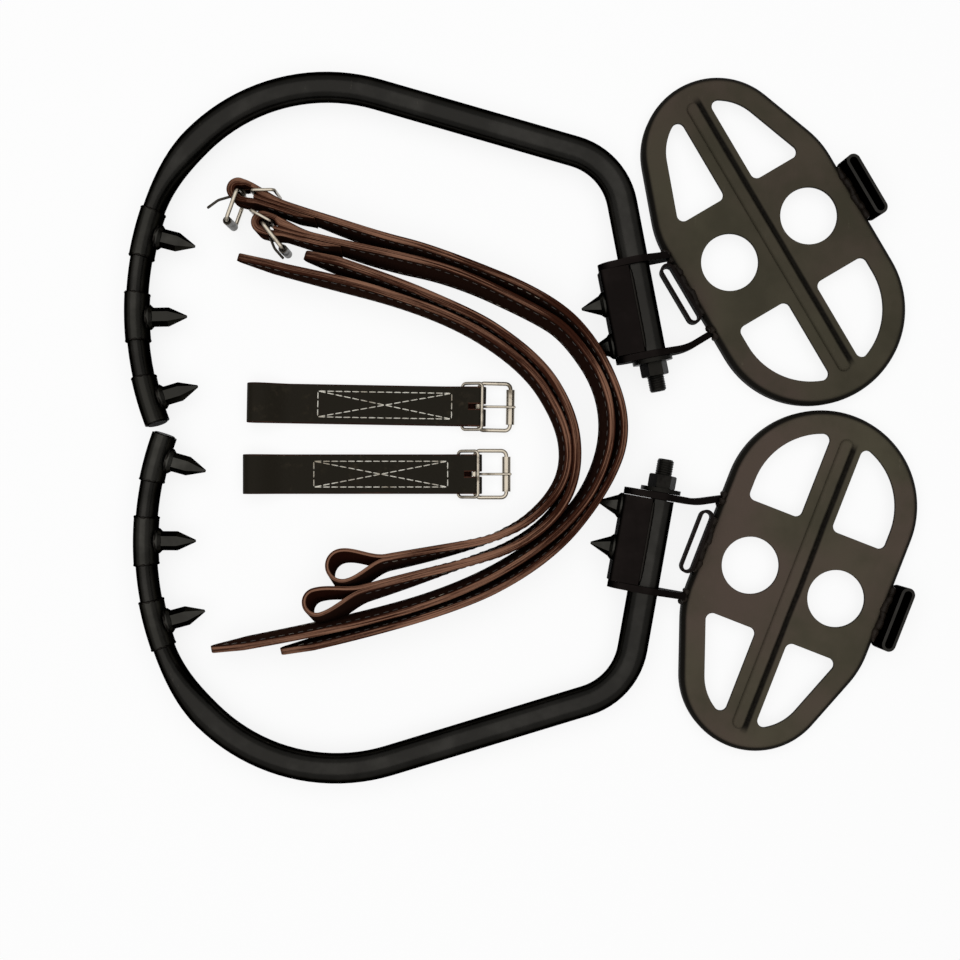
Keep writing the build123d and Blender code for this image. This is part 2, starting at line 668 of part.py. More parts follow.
def short_strap(name):
    """Short strap lying flat: an open loop at one end, the buckle's fold at the other."""
    loop_eye = (SHORT_LOOP_RADIUS + PLY - SHORT_STRAP_LENGTH, SHORT_LOOP_RADIUS + PLY)
    loop_neck = (SHORT_LOOP_NECK - SHORT_STRAP_LENGTH, PLY)
    bar_neck = (-SHORT_BUCKLE_NECK, PLY)
    loop_outer, loop_inner = eye_profile(loop_eye, loop_neck, SHORT_LOOP_RADIUS)
    bar_outer, bar_inner = eye_profile((0, SHORT_BAR_HEIGHT), bar_neck, SHORT_FOLD_RADIUS)
    middle = hull(Pos(loop_neck) * Circle(PLY), Pos(bar_neck) * Circle(PLY))
    profile = loop_outer + middle + bar_outer - loop_inner - bar_inner
    strap = extrude(Plane.XZ * profile, STRAP_WIDTH / 2, both=True)
    return short_place(name) * (strap - prong_slot(Pos(0, 0, SHORT_BAR_HEIGHT), SHORT_FOLD_RADIUS))


# Buckles and keepers, drawn with the bar along Y and the frame out along X
def wire_ring(length, span, corner, wire):
    """Closed rectangular ring of round wire, measured between the wire's middles."""
    path = RectangleRounded(length, span, corner).wire()
    return sweep(Plane(path @ 0, z_dir=path % 0) * Circle(wire / 2), path)


def buckle_frame():
    """Wire frame of a buckle, with its bar on the Y axis."""
    ring = wire_ring(BUCKLE_REACH, BUCKLE_SPAN, BUCKLE_CORNER, BUCKLE_WIRE)
    return Pos(BUCKLE_REACH / 2, 0, 0) * ring


def buckle_roller():
    """Tube rolled from sheet, that turns on the far side of the frame."""
    length = BUCKLE_SPAN - 2 * (BUCKLE_CORNER + ROLLER_END_GAP)
    tube = Circle(ROLLER_DIAMETER / 2) - Circle(ROLLER_DIAMETER / 2 - ROLLER_WALL)
    return Pos(BUCKLE_REACH, 0, 0) * extrude(Plane.XZ * tube, length / 2, both=True)


def buckle_prong():
    """Wire prong with its eye round the bar: out along X, then bent down over the roller."""
    eye = Circle(PRONG_EYE_RADIUS) - Circle(BUCKLE_WIRE / 2 + PRONG_CLEARANCE)
    ring = extrude(Plane.XZ * eye, PRONG_EYE_WIDTH / 2, both=True)
    start = PRONG_EYE_RADIUS - PRONG_WIRE / 2
    bend = radians(PRONG_BEND)
    beyond = PRONG_LENGTH - PRONG_KNEE
    end = (PRONG_KNEE + beyond * cos(bend), 0, -beyond * sin(bend))
    path = FilletPolyline((start, 0, 0), (PRONG_KNEE, 0, 0), end, radius=beyond)
    wire = sweep(Plane((start, 0, 0), z_dir=(1, 0, 0)) * Circle(PRONG_WIRE / 2), path)
    tip_edge = wire.edges().filter_by(GeomType.CIRCLE).sort_by(Axis.X)[-1]
    return ring + fillet(tip_edge, PRONG_WIRE * 0.4)


def keeper_ring():
    """Wire keeper, with the bar that turns in the fold on the Y axis."""
    ring = wire_ring(KEEPER_LENGTH, KEEPER_SPAN, KEEPER_CORNER, KEEPER_WIRE)
    return Pos(KEEPER_LENGTH / 2, 0, 0) * ring


def buckle(bar, prong_turn):
    """Frame, roller and prong of one buckle on its bar."""
    return {
        "frame": bar * buckle_frame(),
        "roller": bar * buckle_roller(),
        "prong": bar * Rot(0, prong_turn, 0) * buckle_prong(),
    }


def standing_keeper_bar(points, lie):
    """Frame on a standing keeper's bar in the fold: X towards its free side, Y up the bar."""
    drop = LOOSE_GAP - BUCKLE_SIDE_GAP
    back = standing_bar(points, route_turn(points) + 180)
    return back * Pos(lie.keeper_station, drop, -lie.keeper_offset) * Rot(0, lie.keeper_turn, 0)


def lying_keeper_bar(name):
    """Frame on a short strap's keeper bar in the fold: X towards its free side, Y along the bar."""
    share = SHORT_KEEPER_STATION / (SHORT_BUCKLE_NECK - STRAP_THICKNESS)
    height = SHORT_BAR_HEIGHT + share * (PLY - SHORT_BAR_HEIGHT)
    return short_place(name) * Pos(-SHORT_KEEPER_STATION, 0, height + LOOSE_GAP / 2) \
        * Rot(0, -SHORT_KEEPER_TURN, 0)


def strap_set():
    """All straps, buckles and keepers, by node name, where they lie."""
    pieces = {}
    for name, points in BUCKLE_STRAP_ROUTES.items():
        lie = BUCKLES[name]
        pieces[f"{name}_buckle_strap"] = buckle_strap(points)
        bar = standing_bar(points, lie.frame_turn)
        for part, shape in buckle(bar, lie.prong_turn).items():
            pieces[f"{name}_buckle_{part}"] = shape
        pieces[f"{name}_buckle_keeper"] = standing_keeper_bar(points, lie) * keeper_ring()
    for name, points in LOOP_STRAP_ROUTES.items():
        pieces[f"{name}_loop_strap"] = loop_strap(points, LOOPS[name])
    for name in SHORT_STRAP_PLACES:
        pieces[f"{name}_short_strap"] = short_strap(name)
        for part, shape in buckle(lying_bar(name), -PRONG_REST).items():
            pieces[f"{name}_short_{part}"] = shape
        pieces[f"{name}_short_keeper"] = lying_keeper_bar(name) * keeper_ring()
    return pieces


def whole_set():
    """Every piece by node name, with the middle of the set's outline over the origin."""
    pieces = {**climber(LEFT), **climber(RIGHT), **strap_set()}
    box = Compound(list(pieces.values())).bounding_box()
    centring = Pos(-box.center().X, -box.center().Y, -box.min.Z)
    return {name: centring * piece for name, piece in pieces.items()}


def main():
    """Build every piece and write it to its own file."""
    os.makedirs("parts", exist_ok=True)
    for name, piece in whole_set().items():
        export_step(piece, f"parts/{name}.step")


if __name__ == "__main__":
    main()
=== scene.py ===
"""Dresses a pair of pole climbers and their leather strap set, laid out on a pale floor."""

import logging
import math
from dataclasses import dataclass, field, replace
from enum import Enum
from typing import Any, Dict, List, Optional, Sequence, Tuple, Union

import bmesh
import bpy
import numpy as np
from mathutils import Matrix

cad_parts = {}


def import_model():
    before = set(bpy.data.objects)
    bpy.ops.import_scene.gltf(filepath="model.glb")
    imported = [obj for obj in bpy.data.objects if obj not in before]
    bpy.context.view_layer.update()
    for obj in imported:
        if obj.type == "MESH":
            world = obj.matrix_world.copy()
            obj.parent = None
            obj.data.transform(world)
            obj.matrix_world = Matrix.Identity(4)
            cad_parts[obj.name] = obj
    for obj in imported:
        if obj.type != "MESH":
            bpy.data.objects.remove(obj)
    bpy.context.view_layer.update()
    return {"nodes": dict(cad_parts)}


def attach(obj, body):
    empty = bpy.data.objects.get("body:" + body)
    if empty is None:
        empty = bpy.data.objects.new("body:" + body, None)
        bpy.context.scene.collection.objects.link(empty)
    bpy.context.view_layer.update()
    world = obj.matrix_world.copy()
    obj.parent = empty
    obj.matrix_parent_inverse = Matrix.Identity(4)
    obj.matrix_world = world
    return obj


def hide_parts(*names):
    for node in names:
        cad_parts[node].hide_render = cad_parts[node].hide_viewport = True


LOG = logging.getLogger("pole_climbers")
Array = np.ndarray
Colour = Tuple[float, float, float]
Pair = Tuple[float, float]

# Metres in a millimetre, and the shift in millimetres that centres the set
MM = 0.001
CENTRING = np.array([-2.529, 3.340])

ROOT_BODY = "hoops_and_straps"
UP = np.array([0.0, 0.0, 1.0])
WHITE = (1.0, 1.0, 1.0)
FULL_TURN = 2.0 * np.pi
SEEN_RAYS = ("Is Camera Ray", "Is Glossy Ray", "Is Transmission Ray")
SPLINE_STEPS = 400
ROUTE_PITCH = 1.25

# Angles in degrees past which an edge is shaded sharp
LEATHER_CREASE = 60.0
THREAD_CREASE = 80.0
WELD_CREASE = 70.0

# Strength of a coating's orange peel and of the finer specks on it, and the specks' share of its depth
PEEL_SHARE = 0.6
SPECK_SHARE = 0.5
SPECK_DEPTH = 0.5


class Slot(Enum):
    """Names of the material slots."""

    TUBE = "tube_paint"
    PLATE = "plate_paint"
    HARDWARE = "hardware"
    LEATHER = "leather"


class Lie(Enum):
    """Which end of a long strap's route carries its fold."""

    FIRST = "first"
    LAST = "last"


def srgb(red: float, green: float, blue: float) -> Colour:
    """Linear colour of a display colour given in 0 to 255, by the standard display curve.

    Args:
        red: Red share.
        green: Green share.
        blue: Blue share.

    Returns:
        The linear colour.
    """
    share = np.array([red, green, blue], dtype=float) / 255.0
    low = share / 12.92
    high = ((share + 0.055) / 1.055) ** 2.4
    return tuple(float(v) for v in np.where(share <= 0.04045, low, high))


def smooth_step(share: Array) -> Array:
    """Ease from 0 to 1 with level ends, 3x^2 - 2x^3."""
    held = np.clip(share, 0.0, 1.0)
    return held * held * (3.0 - 2.0 * held)


def unit(vectors: Array) -> Array:
    """Vectors scaled to length 1 along the last axis."""
    return vectors / np.linalg.norm(vectors, axis=-1, keepdims=True)


def turned(points: Array, degrees: float) -> Array:
    """Level places of points after a turn about the vertical.

    Args:
        points: Points, with the coordinates on the last axis.
        degrees: Angle of the turn.

    Returns:
        The first two coordinates of each point.
    """
    angle = math.radians(degrees)
    level = np.array([[math.cos(angle), -math.sin(angle)], [math.sin(angle), math.cos(angle)]])
    return points[..., :2] @ level.T


def compass(heading: float) -> Tuple[Array, Array]:
    """Level unit vectors along a heading in radians and to its left."""
    along = np.array([math.cos(heading), math.sin(heading)])
    return along, np.array([-along[1], along[0]])


# Shader graphs
class Signal:
    """A shader socket that carries one number per point, with arithmetic."""

    def __init__(self, graph: "Graph", socket: bpy.types.NodeSocket) -> None:
        """Keep the socket and the graph that it belongs to."""
        self.graph = graph
        self.socket = socket

    def _math(self, operation: str, *values: Any) -> "Signal":
        """A Math node fed with the values."""
        return self.graph.node("ShaderNodeMath", {"operation": operation}, dict(enumerate(values)))

    def __add__(self, other: Any) -> "Signal":
        """Sum."""
        return self._math("ADD", self, other)

    __radd__ = __add__

    def __sub__(self, other: Any) -> "Signal":
        """Difference."""
        return self._math("SUBTRACT", self, other)

    def __rsub__(self, other: Any) -> "Signal":
        """Difference from a number."""
        return self._math("SUBTRACT", other, self)

    def __mul__(self, other: Any) -> "Signal":
        """Product."""
        return self._math("MULTIPLY", self, other)

    __rmul__ = __mul__

    def __truediv__(self, other: Any) -> "Signal":
        """Quotient."""
        return self._math("DIVIDE", self, other)

    def __rtruediv__(self, other: Any) -> "Signal":
        """Quotient of a number."""
        return self._math("DIVIDE", other, self)

    def at_least(self, other: Any) -> "Signal":
        """The larger of two values."""
        return self._math("MAXIMUM", self, other)

    def size(self) -> "Signal":
        """Value without its sign."""
        return self._math("ABSOLUTE", self)

    def swing(self) -> "Signal":
        """A noise's distance from its middle."""
        return self - 0.5

    def step(self, low: float, high: float) -> "Signal":
        """Smooth ramp from 0 at low to 1 at high.

        Args:
            low: Value that gives 0.
            high: Value that gives 1.

        Returns:
            The ramped signal.
        """
        feeds = {"Value": self, "From Min": low, "From Max": high}
        return self.graph.node("ShaderNodeMapRange", {"interpolation_type": "SMOOTHSTEP"}, feeds)


@dataclass(frozen=True)
class Noise:
    """One kind of noise: waves in a metre, octaves, strength of further octaves, and stretch by axis."""

    scale: float
    detail: float
    rough: float
    stretch: Optional[Tuple[float, float, float]] = None


class Graph:
    """Node tree of one material or of the sky."""

    def __init__(self, holder: Union[bpy.types.Material, bpy.types.World]) -> None:
        """Start with an empty tree on its holder.

        Args:
            holder: Material or world that owns the tree.
        """
        self.holder = holder
        holder.use_nodes = True
        self.tree = holder.node_tree
        self.tree.nodes.clear()

    @classmethod
    def paint(cls, name: str) -> "Graph":
        """Graph of a new material."""
        return cls(bpy.data.materials.new(name))

    def feed(self, socket: bpy.types.NodeSocket, value: Any) -> None:
        """Link a signal to a socket, or set a plain value on it.

        Args:
            socket: Input socket.
            value: Signal, number, colour or vector.
        """
        if isinstance(value, Signal):
            self.tree.links.new(value.socket, socket)
        elif isinstance(value, (int, float)):
            socket.default_value = value
        else:
            values = tuple(value)
            socket.default_value = values + (1.0,) if socket.type == "RGBA" and len(values) == 3 else values

    def add(self, kind: str, settings: Optional[Dict[str, Any]] = None,
            feeds: Optional[Dict[Any, Any]] = None) -> bpy.types.Node:
        """Add one node, with its settings first.

        Args:
            kind: Blender's name of the node type.
            settings: Settings of the node.
            feeds: Values or signals by socket name or place.

        Returns:
            The node.
        """
        made = self.tree.nodes.new(kind)
        for key, value in (settings or {}).items():
            setattr(made, key, value)
        for key, value in (feeds or {}).items():
            self.feed(made.inputs[key], value)
        return made

    def node(self, kind: str, settings: Optional[Dict[str, Any]] = None,
             feeds: Optional[Dict[Any, Any]] = None, output: Union[int, str] = 0) -> Signal:
        """One output, by name or place, of a node that is added."""
        return Signal(self, self.add(kind, settings, feeds).outputs[output])

    def place(self) -> Signal:
        """Object coordinates in metres."""
        return self.node("ShaderNodeTexCoord", output="Object")

    def mark(self, name: str) -> Signal:
        """A number that the mesh carries at each vertex."""
        settings = {"attribute_type": "GEOMETRY", "attribute_name": name}
        return self.node("ShaderNodeAttribute", settings, output="Fac")

    def seen(self) -> Signal:
        """Split what is seen from what only lights the set.

        Returns:
            1 for rays from the eye, from reflections and through clear bodies, and 0 for other light.
        """
        rays = self.add("ShaderNodeLightPath")
        eye, glossy, clear = (Signal(self, rays.outputs[name]) for name in SEEN_RAYS)
        return eye.at_least(glossy).at_least(clear)

    def noise(self, kind: Noise, where: Optional[Signal] = None) -> Signal:
        """Noise between 0 and 1.

        Args:
            kind: Kind of noise.
            where: Coordinates, the object's own where none are given.

        Returns:
            The noise value.
        """
        vector = where or self.place()
        if kind.stretch:
            feeds = {"Vector": vector, "Scale": kind.stretch}
            vector = self.node("ShaderNodeMapping", {"vector_type": "POINT"}, feeds)
        feeds = {"Vector": vector, "Scale": kind.scale, "Detail": kind.detail, "Roughness": kind.rough}
        return self.node("ShaderNodeTexNoise", {"noise_dimensions": "3D"}, feeds, "Fac")

    def cells(self, scale: float) -> Signal:
        """Distance to the middle of the nearest cell, with scale cells in a metre."""
        feeds = {"Vector": self.place(), "Scale": scale}
        return self.node("ShaderNodeTexVoronoi", {"feature": "SMOOTH_F1"}, feeds, "Distance")

    def tint(self, share: Any, first: Any, second: Any) -> Signal:
        """Mix of two colours.

        Args:
            share: 0 for the first colour and 1 for the second.
            first: Colour or signal.
            second: Colour or signal.

        Returns:
            The mixed colour.
        """
        settings = {"data_type": "RGBA", "blend_type": "MIX", "clamp_factor": True}
        return self.node("ShaderNodeMix", settings, {0: share, 6: first, 7: second}, 2)

    def skin(self, *layers: Tuple[Signal, float, float]) -> Signal:
        """Surface normal bent by layers of height, one on the other.

        Args:
            layers: Height between 0 and 1, depth in metres of a height of 1, and share of the effect.

        Returns:
            The bent normal.
        """
        under: Dict[str, Signal] = {}
        for height, depth, share in layers:
            feeds = {"Height": height, "Distance": depth, "Strength": share, **under}
            under = {"Normal": self.node("ShaderNodeBump", None, feeds)}
        return under["Normal"]

    def coat(self, fine: Signal, speck: Signal, depth: float) -> Signal:
        """Orange peel of a depth in metres, with finer specks on it."""
        return self.skin((fine, depth, PEEL_SHARE), (speck, depth * SPECK_DEPTH, SPECK_SHARE))

    def surface(self, **feeds: Any) -> bpy.types.Material:
        """Close the graph with a principled surface.

        Args:
            feeds: Values or signals by socket name, with _ for a space.

        Returns:
            The finished material.
        """
        named = {key.replace("_", " "): value for key, value in feeds.items()}
        self.close(self.node("ShaderNodeBsdfPrincipled", None, named))
        return self.holder

    def close(self, shader: Signal, kind: str = "ShaderNodeOutputMaterial") -> None:
        """Send a shader to an output node."""
        self.add(kind, None, {"Surface": shader})


# Finishes
@dataclass(frozen=True)
class PaintFinish:
    """Black coating on steel: mottled, with orange peel, scuffs and a sheen that dies at the edges."""

    name: str
    colour: Colour
    worn: Colour
    roughness: float
    mottle: float = 0.35
    scuffs: float = 0.5
    peel: float = 0.00006
    gloss: float = 0.05
    metallic: float = 1.0
    edge_sheen: float = 0.0
    patches: Noise = Noise(22.0, 4.0, 0.6)
    grain: Noise = Noise(420.0, 3.0, 0.6)
    specks: Noise = Noise(1500.0, 2.0, 0.5)
    scratches: Noise = Noise(160.0, 5.0, 0.7, (1.0, 0.16, 1.0))
    patch_range: Pair = (0.42, 0.68)
    scratch_range: Pair = (0.66, 0.74)
    scuff_grain: Pair = (0.45, 0.6)
    patch_rough: float = 0.16
    grain_rough: float = 0.12
    scuff_rough: float = 0.15

    def material(self) -> bpy.types.Material:
        """The coating's shader graph.

        Returns:
            The material.
        """
        graph = Graph.paint(self.name)
        kinds = (self.patches, self.grain, self.specks, self.scratches)
        broad, fine, speck, scratch = (graph.noise(kind) for kind in kinds)
        dark = tuple(part * (1.0 - self.mottle) for part in self.colour)
        scuffed = scratch.step(*self.scratch_range) * fine.step(*self.scuff_grain) * self.scuffs
        base = graph.tint(broad.step(*self.patch_range), dark, self.colour)
        base = graph.tint(scuffed, base, self.worn)
        rough = self.roughness + broad.swing() * self.patch_rough + fine.swing() * self.grain_rough
        rough = rough + scuffed * self.scuff_rough
        skin = graph.coat(fine, speck, self.peel)
        return graph.surface(Base_Color=base, Roughness=rough, Normal=skin, Metallic=self.metallic,
                             Specular_IOR_Level=self.gloss, Specular_Tint=(self.edge_sheen,) * 3)


@dataclass(frozen=True)
class PlateFinish:
    """Footplate paint: a dusty brown tread, painted shade on the rolled rim, and a painted shadow by the
    bead's outer foot.
    """

    name: str
    tread: Colour
    warm: Colour
    worn: Colour
    rim: Colour
    bead_foot_shadow: Colour
    shade: float = 0.76
    scuffs: float = 0.5
    peel: float = 0.00006
    gloss: float = 0.02
    roughness: float = 0.55
    patch_rough: float = 0.2
    grain_rough: float = 0.12
    rim_heights: Pair = (0.0119, 0.01295)
    rim_wander: float = 0.0003
    foot: float = 0.0056
    foot_reach: float = 0.0036
    foot_wander: float = 0.002
    foot_fade: Pair = (0.45, 1.0)
    shadow_least: float = 0.8
    shadow_grain: float = 0.3
    bead_half: float = 0.114
    bead_fade: float = 0.004
    patches: Noise = Noise(16.0, 4.0, 0.6)
    grain: Noise = Noise(420.0, 3.0, 0.6)
    specks: Noise = Noise(1400.0, 2.0, 0.5)
    scratches: Noise = Noise(150.0, 5.0, 0.7, (1.0, 0.2, 1.0))
    drift: Noise = Noise(9.0, 2.0, 0.5)
    drift_range: Pair = (0.36, 0.64)
    patch_range: Pair = (0.3, 0.62)
    scratch_range: Pair = (0.64, 0.74)
    scuff_grain: Pair = (0.42, 0.6)

    def material(self, side: str, centre: Pair, turn: float, tread_gain: float) -> bpy.types.Material:
        """The plate's shader graph.

        Args:
            side: Name of the climber.
            centre: Place of the plate's middle in metres.
            turn: Angle of the plate's width in radians.
            tread_gain: Brightness of the tread.

        Returns:
            The material.
        """
        graph = Graph.paint(f"{side}_{self.name}")
        feeds = {"Vector": graph.place(), "Location": (*centre, 0.0), "Rotation": (0.0, 0.0, turn)}
        own = graph.node("ShaderNodeMapping", {"vector_type": "TEXTURE"}, feeds)
        across, along, height = (graph.node("ShaderNodeSeparateXYZ", None, {0: own}, axis)
                                 for axis in range(3))
        kinds = (self.patches, self.grain, self.specks, self.scratches, self.drift)
        broad, fine, speck, scratch, slow = (graph.noise(kind) for kind in kinds)
        olive, brown = (tuple(tread_gain * part for part in colour) for colour in (self.tread, self.warm))
        scuffed = scratch.step(*self.scratch_range) * fine.step(*self.scuff_grain) * self.scuffs
        tread = graph.tint(slow.step(*self.drift_range), olive, brown)
        tread = graph.tint(broad.step(*self.patch_range), tuple(self.shade * part for part in olive), tread)
        tread = graph.tint(scuffed, tread, self.worn)
        # Painted shade: below the tread's height the rolled rim takes the near-black rim colour
        flat = (height + broad.swing() * self.rim_wander).step(*self.rim_heights)
        base = graph.tint(flat, self.rim, tread)
        # Painted shadow: a dark band along the bead's outer foot, over the bead's length, broken up by fine
        # noise
        aside = (across - self.foot - broad.swing() * self.foot_wander) / self.foot_reach
        beside = 1.0 - aside.size().step(*self.foot_fade)
        within = 1.0 - (along.size() - self.bead_half).step(-self.bead_fade, self.bead_fade)
        base = graph.tint(beside * within * (self.shadow_least + fine * self.shadow_grain), base, self.bead_foot_shadow)
        rough = self.roughness + broad.swing() * self.patch_rough + fine.swing() * self.grain_rough
        skin = graph.coat(fine, speck, self.peel)
        return graph.surface(Base_Color=base, Roughness=rough, Normal=skin, Metallic=0.0,
                             Specular_IOR_Level=self.gloss)


@dataclass(frozen=True)
class SteelFinish:
    """Bare or plated steel: turned lines and stains. A skin is a depth in metres and a share."""

    name: str
    colour: Colour
    stain: Colour
    roughness: float
    stained: float = 0.85
    stains: Noise = Noise(90.0, 4.0, 0.6)
    grain: Noise = Noise(900.0, 3.0, 0.6)
    lines: Noise = Noise(600.0, 2.0, 0.5, (1.0, 1.0, 0.08))
    stain_range: Pair = (0.5, 0.72)
    stain_rough: float = 0.22
    line_rough: float = 0.12
    line_skin: Pair = (0.00002, 0.5)
    grain_skin: Pair = (0.00002, 0.4)

    def material(self) -> bpy.types.Material:
        """The metal's shader graph.

        Returns:
            The material.
        """
        graph = Graph.paint(self.name)
        broad, fine, lines = (graph.noise(kind) for kind in (self.stains, self.grain, self.lines))
        stains = broad.step(*self.stain_range) * self.stained
        base = graph.tint(stains, self.colour, self.stain)
        rough = self.roughness + stains * self.stain_rough + lines.swing() * self.line_rough
        skin = graph.skin((lines, *self.line_skin), (fine, *self.grain_skin))
        return graph.surface(Base_Color=base, Roughness=rough, Normal=skin, Metallic=1.0)


@dataclass(frozen=True)
class LeatherFinish:
    """Harness leather: dark pebbled grain on the faces, brown fibres on cut edges and the flesh side.

    A skin is a depth in metres and a share. The cut edges carry a painted highlight down their middle and
    painted shade by the grain faces.
    """

    name: str
    face: Colour
    face_worn: Colour
    edge: Colour
    edge_dark: Colour
    flesh: Colour
    gloss: float
    rubbed: float = 0.8
    pebbles: float = 620.0
    pebble_middle: float = 0.4
    patches: Noise = Noise(38.0, 4.0, 0.6)
    creases: Noise = Noise(190.0, 5.0, 0.65)
    fibres: Noise = Noise(520.0, 4.0, 0.7, (1.0, 1.0, 0.3))
    drift: Noise = Noise(11.0, 2.0, 0.5)
    streaks: Noise = Noise(1.0, 4.0, 0.65)
    streak_rates: Tuple[float, float, float] = (14.0, 3.0, 3.0)
    rub_range: Pair = (0.5, 0.75)
    rub_crease: Pair = (0.45, 0.7)
    ragged_range: Pair = (0.32, 0.62)
    ragged_wander: float = 0.5
    fibre_range: Pair = (0.3, 0.8)
    burn: float = 0.62
    streak_burnish_and_sheen: float = 6.0
    burn_drift: float = 3.2
    burn_fibre: float = 0.5
    grain_side_shade: float = 0.5
    grain_side_range: Pair = (0.5, 1.0)
    roughness: float = 0.42
    pebble_rough: float = 0.25
    edge_rough: float = 0.18
    patch_rough: float = 0.15
    crease_height: float = 0.6
    pebble_skin: Pair = (0.00022, 0.55)
    fibre_skin: Pair = (0.00016, 0.6)

    def material(self) -> bpy.types.Material:
        """The leather's shader graph.

        Returns:
            The material.
        """
        graph = Graph.paint(self.name)
        cut, crest, fold, run = (graph.mark(name) for name in ("cut", "crest", "fold", "run"))
        kinds = (self.patches, self.creases, self.fibres, self.drift)
        broad, crease, fibre, slow = (graph.noise(kind) for kind in kinds)
        pebble = graph.cells(self.pebbles)
        rub = broad.step(*self.rub_range) * crease.step(*self.rub_crease)
        face = graph.tint(rub * self.rubbed, self.face, self.face_worn)
        rated = zip((run, crest, slow), self.streak_rates)
        layers = {axis: value * rate for axis, (value, rate) in enumerate(rated)}
        streak = graph.noise(self.streaks, graph.node("ShaderNodeCombineXYZ", None, layers))
        # Edge tone: streaks and drift of the burnished edge, partly a painted sheen, plus painted shade
        # towards each ply's grain face, which leaves a painted highlight down the middle of the strap's
        # edge
        burnish_and_shade = streak.swing() * self.streak_burnish_and_sheen + slow.swing() * self.burn_drift
        burnish_and_shade = burnish_and_shade + fibre.swing() * self.burn_fibre
        burnish_and_shade = burnish_and_shade + (1.0 - crest).step(*self.grain_side_range) * self.grain_side_shade + self.burn
        edge = graph.tint(burnish_and_shade, self.edge, self.edge_dark)
        ragged = (cut + crease.swing() * self.ragged_wander).step(*self.ragged_range)
        flesh = graph.tint(fibre.step(*self.fibre_range), self.flesh, self.edge_dark)
        base = graph.tint(fold, graph.tint(ragged, face, edge), flesh)
        rough = self.roughness + (pebble - self.pebble_middle) * self.pebble_rough
        rough = rough + ragged * self.edge_rough + broad.swing() * self.patch_rough
        pebbled = pebble * (1.0 - ragged) + crease * self.crease_height
        grain = graph.skin((pebbled, *self.pebble_skin), (fibre * ragged, *self.fibre_skin))
        return graph.surface(Base_Color=base, Roughness=rough, Normal=grain, Metallic=0.0,
                             Specular_IOR_Level=self.gloss)


@dataclass(frozen=True)
class ThreadFinish:
    """Waxed sewing thread with a twist, soiled in patches. A skin is a depth in metres and a share."""

    name: str
    colour: Colour
    soiled: Colour
    soil_range: Pair = (0.4, 0.7)
    patches: Noise = Noise(60.0, 3.0, 0.6)
    twists: Noise = Noise(1700.0, 2.0, 0.5)
    roughness: float = 0.62
    twist_rough: float = 0.2
    twist_skin: Pair = (0.0001, 0.6)

    def material(self) -> bpy.types.Material:
        """The thread's shader graph.

        Returns:
            The material.
        """
        graph = Graph.paint(self.name)
        broad, twist = (graph.noise(kind) for kind in (self.patches, self.twists))
        base = graph.tint(broad.step(*self.soil_range), self.colour, self.soiled)
        rough = self.roughness + twist.swing() * self.twist_rough
        skin = graph.skin((twist, *self.twist_skin))
        return graph.surface(Base_Color=base, Roughness=rough, Normal=skin, Metallic=0.0)


TUBE_PAINT = PaintFinish("satin_black_tube_paint", srgb(34, 33, 31), srgb(70, 66, 59), 0.25)
# A lighter copy of the tube paint, a painted highlight on the sleeves, tip plug and spikes
SLEEVE_PAINT = PaintFinish("satin_black_sleeve_paint", srgb(43, 42, 39), srgb(78, 74, 66), 0.3, mottle=0.45)
CHANNEL_PAINT = PaintFinish("dull_black_channel_paint", srgb(17, 14, 13), srgb(46, 41, 36), 0.42)
WELD_PAINT = PaintFinish("painted_weld", srgb(25, 23, 21), srgb(70, 64, 56), 0.36, mottle=0.3, scuffs=0.7,
                         peel=0.00012)
PLATE_WELD = PaintFinish("plate_weld", srgb(36, 30, 25), srgb(66, 58, 49), 0.4, mottle=0.5, scuffs=0.7,
                         peel=0.00012, metallic=0.0, edge_sheen=1.0)
# The fourth colour is painted shade on the rolled rim, and the fifth a painted shadow along the bead's
# outer foot
PLATE_PAINT = PlateFinish("warm_black_plate_paint", srgb(67, 63, 51), srgb(71, 61, 54), srgb(98, 90, 77),
                          srgb(22, 20, 17), srgb(11, 9, 7))
BLACKED_STEEL = SteelFinish("blackened_steel", srgb(20, 19, 17), srgb(12, 11, 10), 0.42)
NICKEL_WIRE = SteelFinish("nickel_plated_wire", srgb(146, 138, 125), srgb(66, 57, 45), 0.24)
ROLLER_STEEL = SteelFinish("dull_roller_steel", srgb(46, 42, 37), srgb(26, 23, 19), 0.36)
STRAP_LEATHER = LeatherFinish("black_harness_leather", srgb(41, 25, 19), srgb(57, 39, 31),
                              srgb(131, 95, 76), srgb(47, 24, 16), srgb(44, 20, 13), gloss=0.0)
FLAT_LEATHER = LeatherFinish("black_flat_leather", srgb(31, 28, 22), srgb(58, 51, 40),
                             srgb(84, 54, 43), srgb(40, 22, 18), srgb(50, 24, 18), gloss=0.02)
SEWING_THREAD = ThreadFinish("waxed_thread", srgb(206, 202, 190), srgb(150, 140, 124))
SOILED_THREAD = ThreadFinish("soiled_thread", srgb(140, 131, 116), srgb(36, 29, 24), (0.3, 0.46),
                             Noise(24.0, 3.0, 0.6))


class Finishes:
    """Materials made once and shared by the pieces."""

    def __init__(self) -> None:
        """Make every material."""
        self.tube = TUBE_PAINT.material()
        self.sleeve = SLEEVE_PAINT.material()
        self.channel = CHANNEL_PAINT.material()
        self.weld = WELD_PAINT.material()
        self.plate_weld = PLATE_WELD.material()
        self.hardware = BLACKED_STEEL.material()
        self.nickel = NICKEL_WIRE.material()
        self.roller = ROLLER_STEEL.material()
        self.leather = STRAP_LEATHER.material()
        self.flat_leather = FLAT_LEATHER.material()
        self.thread = SEWING_THREAD.material()
        self.soiled_thread = SOILED_THREAD.material()


